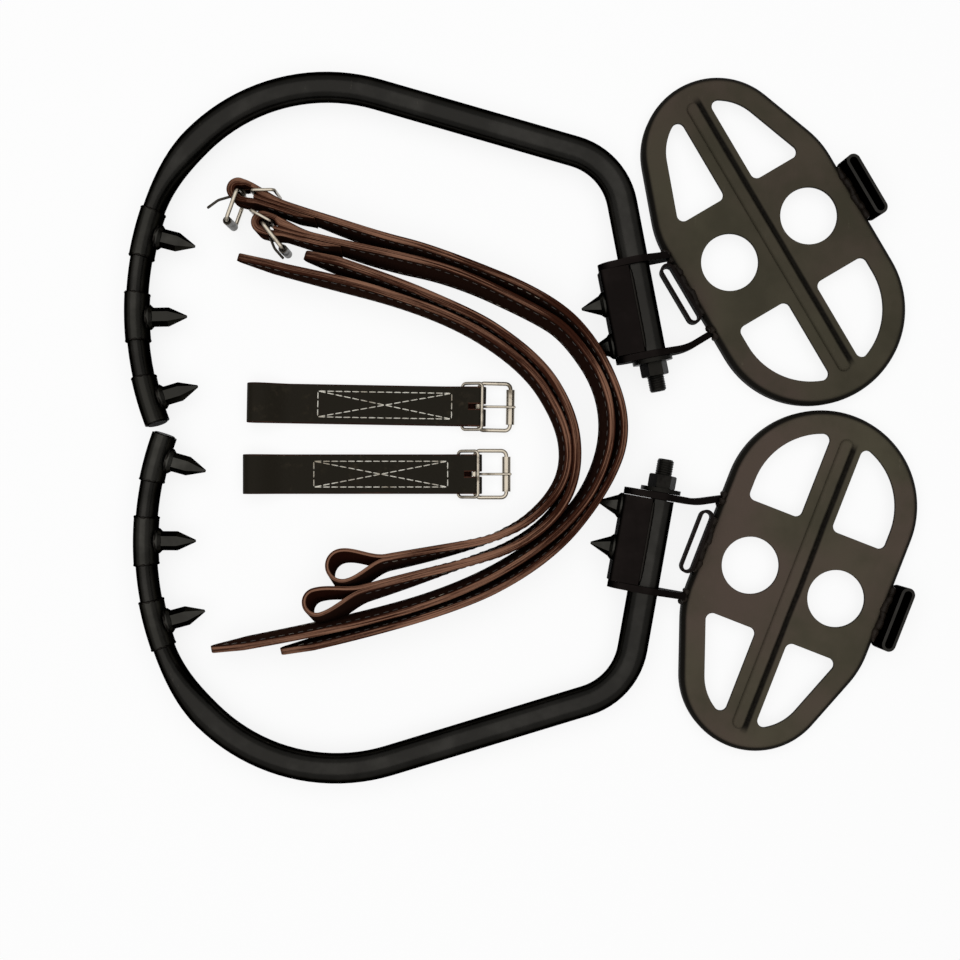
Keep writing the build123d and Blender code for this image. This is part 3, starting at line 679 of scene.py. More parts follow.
# Meshes from arrays
@dataclass
class Sheet:
    """A grid of points closed round each row, like a tube, with marks at its points."""

    points: Array
    closed_rows: bool = False
    marks: Dict[str, Array] = field(default_factory=dict)

    def faces(self, start: int) -> List[List[int]]:
        """Quads of the grid, and the end faces of an open tube.

        Args:
            start: Number of the grid's first point.

        Returns:
            The corners of each face.
        """
        rows, columns = self.points.shape[:2]
        index = start + np.arange(rows * columns).reshape(rows, columns)
        here = index if self.closed_rows else index[:-1]
        below = np.roll(index, -1, axis=0) if self.closed_rows else index[1:]
        quads = np.stack([here, np.roll(here, -1, axis=1), np.roll(below, -1, axis=1), below], axis=-1)
        ends = [] if self.closed_rows else [index[0].tolist(), index[-1][::-1].tolist()]
        return quads.reshape(-1, 4).tolist() + ends


def make_piece(name: str, sheets: Sequence[Sheet], material: bpy.types.Material, body: str,
               sharp: float) -> bpy.types.Object:
    """One mesh object from sheets given in millimetres.

    Args:
        name: Name of the piece.
        sheets: Grids that make up the piece.
        material: Finish of the piece.
        body: Body that it moves with.
        sharp: Angle in degrees past which an edge is shaded sharp.

    Returns:
        The object.
    """
    points = [sheet.points.reshape(-1, 3) for sheet in sheets]
    starts = np.cumsum([0] + [len(flat) for flat in points])
    faces = [face for sheet, start in zip(sheets, starts) for face in sheet.faces(start)]
    mesh = bpy.data.meshes.new(name)
    mesh.from_pydata((np.concatenate(points) * MM).tolist(), [], faces)
    for key in sheets[0].marks:
        values = np.concatenate([sheet.marks[key].ravel() for sheet in sheets])
        mesh.attributes.new(key, "FLOAT", "POINT").data.foreach_set("value", values.astype(np.float32))
    shell = bmesh.new()
    shell.from_mesh(mesh)
    bmesh.ops.recalc_face_normals(shell, faces=shell.faces)
    shell.to_mesh(mesh)
    shell.free()
    mesh.shade_smooth()
    mesh.set_sharp_from_angle(angle=math.radians(sharp))
    mesh.materials.append(material)
    made = bpy.data.objects.new(name, mesh)
    bpy.context.scene.collection.objects.link(made)
    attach(made, body)
    LOG.info("%s: %d faces on %s", name, len(mesh.polygons), body)
    return made


def make_strap(node: str, plies: Sequence[Sheet], seams: Sequence[Sheet], leather: bpy.types.Material,
               thread: bpy.types.Material) -> None:
    """Leather and stitching in place of a strap's solid.

    Args:
        node: Name of the solid.
        plies: Sheets of the leather.
        seams: Sheets of the stitches.
        leather: Finish of the leather.
        thread: Finish of the stitches.
    """
    for kind, sheets, material, crease in (("leather", plies, leather, LEATHER_CREASE),
                                           ("stitching", seams, thread, THREAD_CREASE)):
        made = make_piece(f"{node}_{kind}", sheets, material, ROOT_BODY, crease)
        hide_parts(node)


def paint_solid(solid: bpy.types.Object, material: bpy.types.Material) -> None:
    """Put a material on every slot of a solid.

    Args:
        solid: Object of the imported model.
        material: Finish.
    """
    for slot in solid.material_slots:
        slot.material = material
    LOG.info("%s: %s", solid.name, material.name)


# Paths and profiles
def lengths_along(line: Array) -> Array:
    """Length from the first point to each point of a line."""
    return np.concatenate([[0.0], np.cumsum(np.linalg.norm(np.diff(line, axis=0), axis=1))])


def left_normals(line: Array) -> Array:
    """Level unit normals on the left of a flat line."""
    along = unit(np.gradient(line, axis=0))
    return np.stack([-along[:, 1], along[:, 0]], axis=1)


def read_at(places: Array, run: Array, rows: Array) -> Array:
    """Rows of values read between the points of a run."""
    return np.stack([np.interp(places, run, rows[:, axis]) for axis in range(rows.shape[1])], axis=1)


def soft_line(points: Sequence[Pair], pitch: float = ROUTE_PITCH) -> Array:
    """Smooth line with the points as the control points of a quadratic B-spline with held ends.

    Between two knots the line is the parabola that touches the middles of the control runs. It is then
    read again at even steps of its own length.

    Args:
        points: Control points.
        pitch: Step along the line.

    Returns:
        Points of the line, one row each.
    """
    held = np.asarray(points, dtype=float)
    spans = len(held) - 2
    knots = np.concatenate([[0.0, 0.0], np.arange(spans + 1), [spans, spans]])
    time = np.linspace(0.0, spans, SPLINE_STEPS * spans + 1)
    place = np.clip(np.floor(time).astype(int), 0, spans - 1) + 2
    share_a = (time - knots[place - 1]) / (knots[place + 1] - knots[place - 1])
    share_b = (time - knots[place]) / (knots[place + 2] - knots[place])
    share_c = (time - knots[place]) / (knots[place + 1] - knots[place])
    first = held[place - 2] + share_a[:, None] * (held[place - 1] - held[place - 2])
    second = held[place - 1] + share_b[:, None] * (held[place] - held[place - 1])
    line = first + share_c[:, None] * (second - first)
    run = lengths_along(line)
    return read_at(np.linspace(0.0, run[-1], int(run[-1] / pitch) + 1), run, line)


@dataclass(frozen=True)
class PlyProfile:
    """Section of one leather ply, walked once round: rounded on the grain side and crisp on the flesh side.

    Each point is given by its share of the half width, plus an offset of a rounding radius times the
    sine of an angle, so that the rounding keeps its size where the ply narrows.
    """

    half_ply: float
    grain_round: float = 0.75
    flesh_round: float = 0.16
    bleed: float = 0.46
    arc_points: int = 5
    face_shares: Tuple[float, ...] = (-0.84, -0.4, 0.4, 0.84)

    def walk(self) -> Tuple[Array, Array, Array, Dict[str, Array]]:
        """Points round the section.

        Returns:
            Offset across the ply, share of the width, offset along the width, and the marks: cut on the
            edges, crest from 0 on the grain side to 1 on the flesh side, and fold on the flesh face.
        """
        angles = np.linspace(0.0, 0.5 * np.pi, self.arc_points)
        grain_across = self.half_ply - self.grain_round * (1.0 - np.cos(angles))
        grain_along = self.grain_round * np.sin(angles)
        flesh_across = self.flesh_round * (1.0 - np.cos(angles)) - self.half_ply
        flesh_along = self.grain_round - self.flesh_round * (1.0 - np.sin(angles))
        faces = np.array(self.face_shares)
        ones, level = np.ones(self.arc_points), np.ones(len(faces))
        none, flat = 0.0 * ones, 0.0 * level
        across = np.concatenate([self.half_ply * level, grain_across, flesh_across[::-1],
                                 -self.half_ply * level, flesh_across, grain_across[::-1]])
        share = np.concatenate([faces, ones, ones, -faces, -ones, -ones])
        along = np.concatenate([flat, grain_along, flesh_along[::-1],
                                flat, -flesh_along, -grain_along[::-1]])
        bled = self.bleed + (1.0 - self.bleed) * np.sin(angles)
        flesh = np.cos(angles) ** 2
        cut = np.concatenate([flat, bled, ones, level, ones, bled[::-1]])
        fold = np.concatenate([flat, none, flesh[::-1], level, flesh, none])
        crest = 0.5 - 0.5 * across / self.half_ply
        return across, share, along, {"cut": cut, "crest": crest, "fold": fold}


@dataclass(frozen=True)
class Sewing:
    """One kind of seam: spacing and size of its stitches, and its distance from the strap's edge.

    Each stitch is a slim spindle that dives into the leather at its ends. Along its length x from -1 to 1
    it has the radius thick times (1 - thinning x^6)^(1/2), and sinks with the fourth power of x.
    """

    pitch: float
    length: float
    thick: float
    inset: float = 4.0
    least_half: float = 3.0
    thinning: float = 0.85
    proud: float = 0.3
    dive: float = 0.9
    rows: int = 7
    sides: int = 6

    def stitches(self, places: Array, along: Array, outward: Array) -> List[Sheet]:
        """A row of stitches.

        Args:
            places: Middle of each stitch on the leather's face.
            along: Unit vectors along the row.
            outward: Unit normals of the face.

        Returns:
            One sheet for each stitch.
        """
        share = np.linspace(-1.0, 1.0, self.rows)[:, None]
        turn = np.linspace(0.0, FULL_TURN, self.sides, endpoint=False)
        radius = self.thick * np.sqrt(1.0 - self.thinning * share ** 6)
        level = radius * np.cos(turn) + self.thick * (self.proud - self.dive * share ** 4)
        aside = radius * np.sin(turn)
        run = np.broadcast_to(0.5 * self.length * share, level.shape)
        offsets = ((along, run), (outward, level), (np.cross(along, outward), aside))
        shifts = (way[:, None, None, :] * far[None, ..., None] for way, far in offsets)
        return [Sheet(block) for block in places[:, None, None, :] + sum(shifts)]


@dataclass
class Ribbon:
    """One leather ply in space, as arrays along its length."""

    path: Array
    up: Array
    grain: Array
    half: Array
    thick: Array
    from_eye: Array
    raw_end: bool = False

    @classmethod
    def along(cls, path: Array, up: Array, half: Array, thick: Array, from_eye: Array,
              toward: Array) -> "Ribbon":
        """A ribbon whose grain side is square to its path and width.

        Args:
            path: Points of the ply's middle.
            up: Unit vectors along the ply's width.
            half: Half of the width at each point.
            thick: Thickness at each point.
            from_eye: Length from the fold's eye at each point.
            toward: Vector that the grain side faces at the first point.

        Returns:
            The ribbon.
        """
        grain = unit(np.cross(unit(np.gradient(path, axis=0)), up))
        grain = grain * np.sign(np.dot(grain[0], toward))
        return cls(path, up, grain, half, thick, from_eye)

    def part(self, first: int, last: Optional[int] = None) -> "Ribbon":
        """The stretch from one point up to, but not with, another."""
        arrays = (self.path, self.up, self.grain, self.half, self.thick, self.from_eye)
        return Ribbon(*(values[first:last] for values in arrays))

    def band(self, low: float, high: float) -> "Ribbon":
        """The strip between two places across the width."""
        return replace(self, path=self.path + self.up * (0.5 * (low + high)),
                       half=np.full(len(self.path), 0.5 * (high - low)))

    def slotted(self, slot_half: float) -> List["Ribbon"]:
        """The two strips beside a slot in the middle of the width."""
        wide = float(self.half.max())
        return [self.band(-wide, -slot_half), self.band(slot_half, wide)]

    def sheet(self, profile: PlyProfile) -> Sheet:
        """The ply's grid: its section carried along the path, thick along the grain and wide along up.

        Args:
            profile: Section of the ply.

        Returns:
            The sheet with its marks.
        """
        across, share, along, marks = profile.walk()
        deep = across[None, :] * (0.5 * self.thick / profile.half_ply)[:, None]
        wide = share[None, :] * (self.half[:, None] - profile.grain_round) + along[None, :]
        points = (self.path[:, None, :] + self.grain[:, None, :] * deep[..., None]
                  + self.up[:, None, :] * wide[..., None])
        spread = {name: np.tile(mark, (len(points), 1)) for name, mark in marks.items()}
        spread["run"] = np.tile(MM * lengths_along(self.path)[:, None], (1, len(across)))
        if self.raw_end:
            spread["cut"][-1] = 1.0
        return Sheet(points, marks=spread)

    def stitches(self, first: float, last: float, sewing: Sewing) -> List[Sheet]:
        """Two rows of stitches on the grain face, in from the edges.

        Args:
            first: Length from the eye where the rows start.
            last: Length from the eye where they end.
            sewing: Kind of seam.

        Returns:
            One sheet for each stitch.
        """
        run = lengths_along(self.path)
        wide_enough = self.half > sewing.inset + sewing.least_half
        sewn = run[(self.from_eye >= first) & (self.from_eye <= last) & wide_enough]
        margin = 0.5 * sewing.pitch
        stations = np.arange(sewn.min() + margin, sewn.max() - margin, sewing.pitch)
        ahead = unit(np.gradient(self.path, axis=0))
        sheets: List[Sheet] = []
        for edge in (-1.0, 1.0):
            inset = edge * (self.half - sewing.inset)
            face = self.path + self.up * inset[:, None] + self.grain * (0.5 * self.thick)[:, None]
            place, along, outward = (read_at(stations, run, rows) for rows in (face, ahead, self.grain))
            sheets += sewing.stitches(place, unit(along), unit(outward))
        return sheets


# Straps
@dataclass
class LongStrap:
    """A long strap on edge: two plies sewn face to face, with a fold at one end and a point at the other.

    An open loop is the two plies bent into each other. At a buckle the outer ply is thickened round the
    bar, has a slot for the prong, and comes back along the inner ply as a turned-back end.
    """

    node: str
    fold_end: Lie
    fold_radius: float
    neck: float
    route: Sequence[Pair]
    lean_route: Sequence[Pair]
    lift: float = 0.0
    lift_reach: float = 190.0
    turned_back: float = 0.0
    eye_length: float = 0.0
    half_width: float = 15.0
    taper: float = 26.0
    nose: float = 6.0
    nose_least: float = 0.6
    ply: float = 2.5
    fold_fill: float = 1.3
    fold_points: int = 26
    bar_fill: float = 1.9
    bar_reach: float = 4.5
    back_face: float = 6.0
    back_gap: float = 0.4
    skive: float = 16.0
    skived_least: float = 0.2
    eye_closing: float = 6.5
    inner_gap: float = 1.3
    slot_half: float = 1.9
    slot_reach: float = 8.4
    ripple: float = 0.8
    ripple_length: float = 41.0
    ripple_start: float = 60.0
    ripple_ease: float = 110.0
    seam_start: float = 0.8
    back_seam_start: float = 0.6
    back_seam_end: float = 3.0
    inner_seam_start: float = 4.0
    sewing: Sewing = Sewing(7.2, 5.0, 0.34)

    def middle(self) -> Tuple[Array, Array, Array]:
        """Middle line from the fold's eye to the pointed end.

        Returns:
            Points, outward normals and lengths from the eye.
        """
        line = soft_line(self.route) + CENTRING
        outward = left_normals(line)
        if self.fold_end is Lie.LAST:
            line, outward = line[::-1], outward[::-1]
        return line, outward, lengths_along(line)

    def widths(self, from_tip: Array) -> Array:
        """Half width by distance from the tip: a round nose, then a straight taper to the full width.

        Args:
            from_tip: Distance from the tip.

        Returns:
            The half width.
        """
        inside = np.clip(from_tip, 0.0, self.nose)
        touch = self.nose * (1.0 - math.sin(math.atan2(self.half_width - self.nose, self.taper)))
        round_nose = np.sqrt(np.maximum(self.nose ** 2 - (self.nose - inside) ** 2, self.nose_least))
        touch_width = math.sqrt(self.nose ** 2 - (self.nose - touch) ** 2)
        share = np.clip((from_tip - touch) / (self.taper - touch), 0.0, 1.0)
        straight = touch_width + (self.half_width - touch_width) * share
        return np.where(from_tip < touch, round_nose, straight)

    def leans(self, from_eye: Array) -> Array:
        """Lean of the strap's width from upright by length from the eye, with a sine ripple that eases in.

        Args:
            from_eye: Length from the eye.

        Returns:
            The lean in radians.
        """
        lean = soft_line(self.lean_route)
        ease = smooth_step((from_eye - self.ripple_start) / self.ripple_ease)
        ripple = self.ripple * np.sin(from_eye / self.ripple_length) * ease
        return np.radians(np.interp(from_eye, lean[:, 0], lean[:, 1]) + ripple)

    def faces(self, from_eye: Array) -> Tuple[Array, Array, Array, Array]:
        """Places of the fold's faces beside the middle line, by distance from the eye.

        The outer grain face bulges round the eye and eases to one ply at the neck. At a buckle the flesh
        faces close on the middle line past the eye, and the turned-back end keeps to its own face and
        thins out.

        Args:
            from_eye: Length from the eye.

        Returns:
            Outer grain and flesh face, then grain and flesh face on the inner side.
        """
        bulge = smooth_step(1.0 - from_eye / self.neck)
        outer_grain = self.ply + self.fold_radius * bulge
        outer_flesh = outer_grain - self.ply
        if not self.turned_back:
            return outer_grain, outer_flesh, outer_grain, outer_flesh
        closing = smooth_step((from_eye - self.eye_length) / self.eye_closing)
        fill = self.fold_fill + self.bar_fill * smooth_step(1.0 - from_eye / self.bar_reach)
        outer_flesh = (1.0 - closing) * (outer_flesh - fill)
        back_flesh = outer_flesh + closing * (self.ply + self.back_gap)
        thinned = smooth_step((self.turned_back - from_eye) / self.skive)
        skived = self.skived_least + (1.0 - self.skived_least) * thinned
        back_grain = back_flesh + skived * (np.maximum(outer_grain, self.back_face) - back_flesh)
        return outer_grain, outer_flesh, back_grain, back_flesh

    def build(self, finishes: Finishes) -> None:
        """Make the leather and its stitching.

        One ply runs from the tip along the outside to the fold, half round it and back along the inside.
        The strap leans about its foot.

        Args:
            finishes: Materials.
        """
        line, outward, from_eye = self.middle()
        count, total = len(line), from_eye[-1]
        lean = self.leans(from_eye)
        line = line + outward * (self.half_width * np.sin(np.maximum(lean, 0.0)))[:, None]
        up = np.column_stack([outward * np.sin(lean)[:, None], np.cos(lean)])
        lifted = self.lift * smooth_step(1.0 - from_eye / self.lift_reach)
        height = self.half_width * np.cos(lean) + self.ply * np.abs(np.sin(lean)) + lifted
        half = self.widths(total - from_eye)
        outer_grain, outer_flesh, back_grain, back_flesh = self.faces(from_eye)
        back = int(np.searchsorted(from_eye, self.turned_back)) if self.turned_back else count
        swing = np.linspace(0.0, np.pi, self.fold_points)[1:-1, None]
        turn_radius = 0.5 * (outer_grain[0] + outer_flesh[0])
        arc = line[0] + turn_radius * (outward[0] * np.cos(swing) + unit(line[0] - line[1]) * np.sin(swing))
        over = line + outward * (0.5 * (outer_grain + outer_flesh))[:, None]
        under = line - outward * (0.5 * (back_grain + back_flesh))[:, None]

        def joined(out: Array, eye: float, home: Optional[Array] = None) -> Array:
            """Values of a run out to the fold, round it and home again."""
            inner_run = out if home is None else home
            return np.concatenate([out[::-1], np.full(len(arc), eye), inner_run[:back]])

        path = np.column_stack([np.concatenate([over[::-1], arc, under[:back]]), joined(height, height[0])])
        rise = np.stack([joined(up[:, axis], up[0, axis]) for axis in range(3)], axis=1)
        outer_thick = outer_grain - outer_flesh
        thick = joined(outer_thick, outer_thick[0], back_grain - back_flesh)
        toward = np.append(outward[-1], 0.0)
        widths = joined(half, self.half_width)
        whole = Ribbon.along(path, rise, widths, thick, joined(from_eye, 0.0), toward)
        inside = count + len(arc)
        plies = [whole]
        sewn = whole.part(0, count).stitches(self.seam_start * self.neck, total, self.sewing)
        if self.turned_back:
            reach = int(np.searchsorted(from_eye, self.slot_reach))
            turned_end = replace(whole.part(inside + reach), raw_end=True)
            fold = whole.part(count - reach - 1, inside + reach + 1)
            under_ply = np.column_stack([line - outward * (0.5 * self.ply), height])
            inward = -np.append(outward[0], 0.0)
            inner = Ribbon.along(under_ply, up, half, np.full(count, self.ply), from_eye, inward)
            inner = inner.part(int(np.searchsorted(from_eye, self.eye_length + self.inner_gap)))
            plies = [whole.part(0, count - reach), *fold.slotted(self.slot_half), turned_end, inner]
            back_end = self.turned_back - self.back_seam_end
            sewn += turned_end.stitches(self.back_seam_start * self.neck, back_end, self.sewing)
            sewn += inner.stitches(self.turned_back + self.inner_seam_start, total, self.sewing)
        else:
            sewn += whole.part(inside).stitches(self.seam_start * self.neck, total, self.sewing)
        profile = PlyProfile(0.5 * self.ply)
        leather = [ply.sheet(profile) for ply in plies]
        make_strap(self.node, leather, sewn, finishes.leather, finishes.soiled_thread)


@dataclass
class ShortStrap:
    """A short strap lying flat: an endless ply round an open loop and a buckle bar, sewn between them."""

    node: str
    place: Pair
    turn: float
    length: float = 175.0
    loop_radius: float = 5.0
    loop_neck: float = 34.0
    bar_radius: float = 3.0
    bar_neck: float = 28.0
    half_width: float = 15.0
    ply: float = 2.5
    run_points: int = 150
    fold_points: int = 24
    slot_half: float = 1.9
    slot_reach: float = 8.4
    under_reach: float = 2.0
    box_start: float = -121.8
    box_end: float = -20.5
    box_half: float = 9.75
    sewing: Sewing = Sewing(6.3, 5.7, 0.46)

    def to_row(self, sheets: Sequence[Sheet]) -> None:
        """Move sheets from the strap's own frame to the row frame.

        Args:
            sheets: Sheets that are moved.
        """
        for sheet in sheets:
            flat = turned(sheet.points, self.turn) + np.array(self.place) + CENTRING
            sheet.points = np.concatenate([flat, sheet.points[..., 2:]], axis=-1)

    def build(self, finishes: Finishes) -> None:
        """Make the leather and its stitching.

        The ply's middle runs along the top, round the bar, back along the floor and round the open loop,
        and the top eases down from both folds to lie on the ply below.

        Args:
            finishes: Materials.
        """
        half_ply = 0.5 * self.ply
        loop_x = self.loop_radius + self.ply - self.length
        loop_turn = self.loop_radius + half_ply
        bar_turn = self.bar_radius + half_ply
        run = np.linspace(loop_x, 0.0, self.run_points)
        neck_x = self.loop_neck - self.length
        at_loop = smooth_step((neck_x - run) / (neck_x - loop_x))
        at_bar = smooth_step((run + self.bar_neck) / self.bar_neck)
        top = 3.0 * half_ply + at_loop * (2.0 * loop_turn - self.ply) + at_bar * (2.0 * bar_turn - self.ply)
        swing = np.linspace(0.0, np.pi, self.fold_points)[1:-1]
        sine, cosine = np.sin(swing), np.cos(swing)
        bar = np.column_stack([bar_turn * sine, half_ply + bar_turn * (1.0 + cosine)])
        loop = np.column_stack([loop_x - loop_turn * sine, half_ply + loop_turn * (1.0 - cosine)])
        over = np.column_stack([run, top])
        under = np.column_stack([run[::-1], np.full(len(run), half_ply)])
        slotted, slotted_under = (int(np.count_nonzero(run > -reach))
                                  for reach in (self.slot_reach, self.under_reach))
        ring = np.concatenate([under[slotted_under:], loop, over, bar, under[:slotted_under + 1]])
        path = np.column_stack([ring[:, 0], np.zeros(len(ring)), ring[:, 1]])
        across = np.repeat([[0.0, 1.0, 0.0]], len(path), axis=0)
        even = np.ones(len(path))
        whole = Ribbon.along(path, across, self.half_width * even, self.ply * even, 0.0 * even, -UP)
        folded = len(ring) - slotted - slotted_under - len(bar) - 1
        plies = [whole.part(0, folded + 1), *whole.part(folded).slotted(self.slot_half)]
        leather = [ply.sheet(PlyProfile(half_ply)) for ply in plies]
        seams = self.box_seams(run, top + half_ply)
        self.to_row(leather + seams)
        make_strap(self.node, leather, seams, finishes.flat_leather, finishes.thread)

    def box_seams(self, run: Array, top: Array) -> List[Sheet]:
        """A sewn box with a cross in it, on the upper face, with stitches at even steps along each line.

        Args:
            run: Places along the strap.
            top: Height of the upper face at these places.

        Returns:
            One sheet for each stitch.
        """
        corners = [(self.box_start, -self.box_half), (self.box_end, -self.box_half),
                   (self.box_end, self.box_half), (self.box_start, self.box_half)]
        sides = list(zip(corners, corners[1:] + corners[:1]))
        sheets: List[Sheet] = []
        for start, end in sides + [(corners[0], corners[2]), (corners[1], corners[3])]:
            span = np.array(end) - np.array(start)
            count = int(np.linalg.norm(span) / self.sewing.pitch)
            share = (np.arange(count) + 0.5) / count
            flat = np.array(start) + share[:, None] * span
            places = np.column_stack([flat, np.interp(flat[:, 0], run, top)])
            along = np.repeat([[*unit(span), 0.0]], count, axis=0)
            sheets += self.sewing.stitches(places, along, np.repeat([UP], count, axis=0))
        return sheets


# Welds
@dataclass(frozen=True)
class Bead:
    """One kind of weld bead: a round section that swells with each ripple along a line.

    The section's radius is the mean one times 1 plus lump times the ripple, which is sin(p) + sin(2p)/2
    where p turns once in a pitch. An open bead adds a slower wave to the ripple and rounds off at its ends,
    by a high power of the place along it.
    """

    radius: float
    pitch: float
    lump: float
    wave: float = 0.9
    wave_rate: float = 0.61
    wave_start: float = 0.7
    end_power: int = 6
    end_reach: float = 1.02
    end_least: float = 0.02
    sides: int = 10
    aside: Tuple[float, float, float] = (0.31, 0.23, 0.92)

    def sheet(self, line: Array, ring: bool = False) -> Sheet:
        """The bead along a line.

        Args:
            line: Points of the bead's middle.
            ring: Whether the line closes on itself.

        Returns:
            The bead.
        """
        ahead = np.roll(line, -1, axis=0) - np.roll(line, 1, axis=0) if ring else np.gradient(line, axis=0)
        along = unit(ahead)
        side = unit(np.cross(along, np.array(self.aside)))
        other = np.cross(along, side)
        run = lengths_along(line)
        total = run[-1] + (run[1] if ring else 0.0)
        cycles = max(1.0, round(total / self.pitch))
        phase = run / total * cycles * 2.0 * np.pi
        ripple = np.sin(phase) + 0.5 * np.sin(2.0 * phase)
        if not ring:
            ripple = ripple + self.wave * np.sin(self.wave_rate * phase + self.wave_start)
        swell = self.radius * (1.0 + self.lump * ripple)
        if not ring:
            ends = (2.0 * run / run[-1] - 1.0) ** self.end_power
            swell = swell * np.sqrt(np.clip(self.end_reach - ends, self.end_least, 1.0))
        angle = np.linspace(0.0, FULL_TURN, self.sides, endpoint=False)[None, :, None]
        section = np.cos(angle) * side[:, None, :] + np.sin(angle) * other[:, None, :]
        return Sheet(line[:, None, :] + swell[:, None, None] * section, closed_rows=ring)


@dataclass(frozen=True)
class Collar:
    """The weld round a spike's foot: turned round the spike's axis, hollow from a wide foot to the bar.

    The radius falls from foot to neck as (1 - h)^2 over the height h, with ripples that die out upward
    and a slower wave round the axis.
    """

    foot: float
    neck: float
    height: float
    rooted: float = -0.25
    ripple: float = 0.35
    ripple_least: float = 0.2
    ripple_count: float = 9.0
    wave: float = 0.2
    wave_count: float = 5.0
    wave_start: float = 1.0
    rows: int = 9
    sides: int = 44

    def sheet(self, seat: Array, axis: Array) -> Sheet:
        """The collar on one spike.

        Args:
            seat: Point on the spike's axis at its foot.
            axis: Unit vector along the spike.

        Returns:
            The collar.
        """
        level = np.linspace(self.rooted, 1.0, self.rows)[:, None]
        angle = np.linspace(0.0, FULL_TURN, self.sides, endpoint=False)
        fall = np.clip(1.0 - level, 0.0, 1.0) ** 2
        ripple = self.ripple * np.sin(self.ripple_count * angle) * (self.ripple_least + fall)
        ripple = ripple + self.wave * np.sin(self.wave_count * angle + self.wave_start)
        radius = self.neck + (self.foot - self.neck) * fall + ripple
        side = unit(np.cross(axis, UP))
        ring = np.cos(angle)[:, None] * side + np.sin(angle)[:, None] * np.cross(axis, side)
        return Sheet(seat + (level * self.height)[..., None] * axis + radius[..., None] * ring)


SLEEVE_BEAD = Bead(0.9, 4.2, 0.2)
CHANNEL_BEAD = Bead(1.6, 5.2, 0.05)
ARM_BEAD = Bead(2.0, 4.4, 0.28)
LOOP_BEAD = Bead(2.9, 9.4, 0.13)
TIP_COLLAR = Collar(10.0, 7.1, 3.6)
CHANNEL_COLLAR = Collar(9.4, 6.9, 3.4)

# Half width and height of the arch that an arm's weld follows, from its foot up, and the arch's top
ARM_ARCH = ((4.4, 1.6), (4.0, 7.5), (3.6, 12.4))
ARM_ARCH_TOP = 13.2
ARM_ARCH_PITCH = 0.5


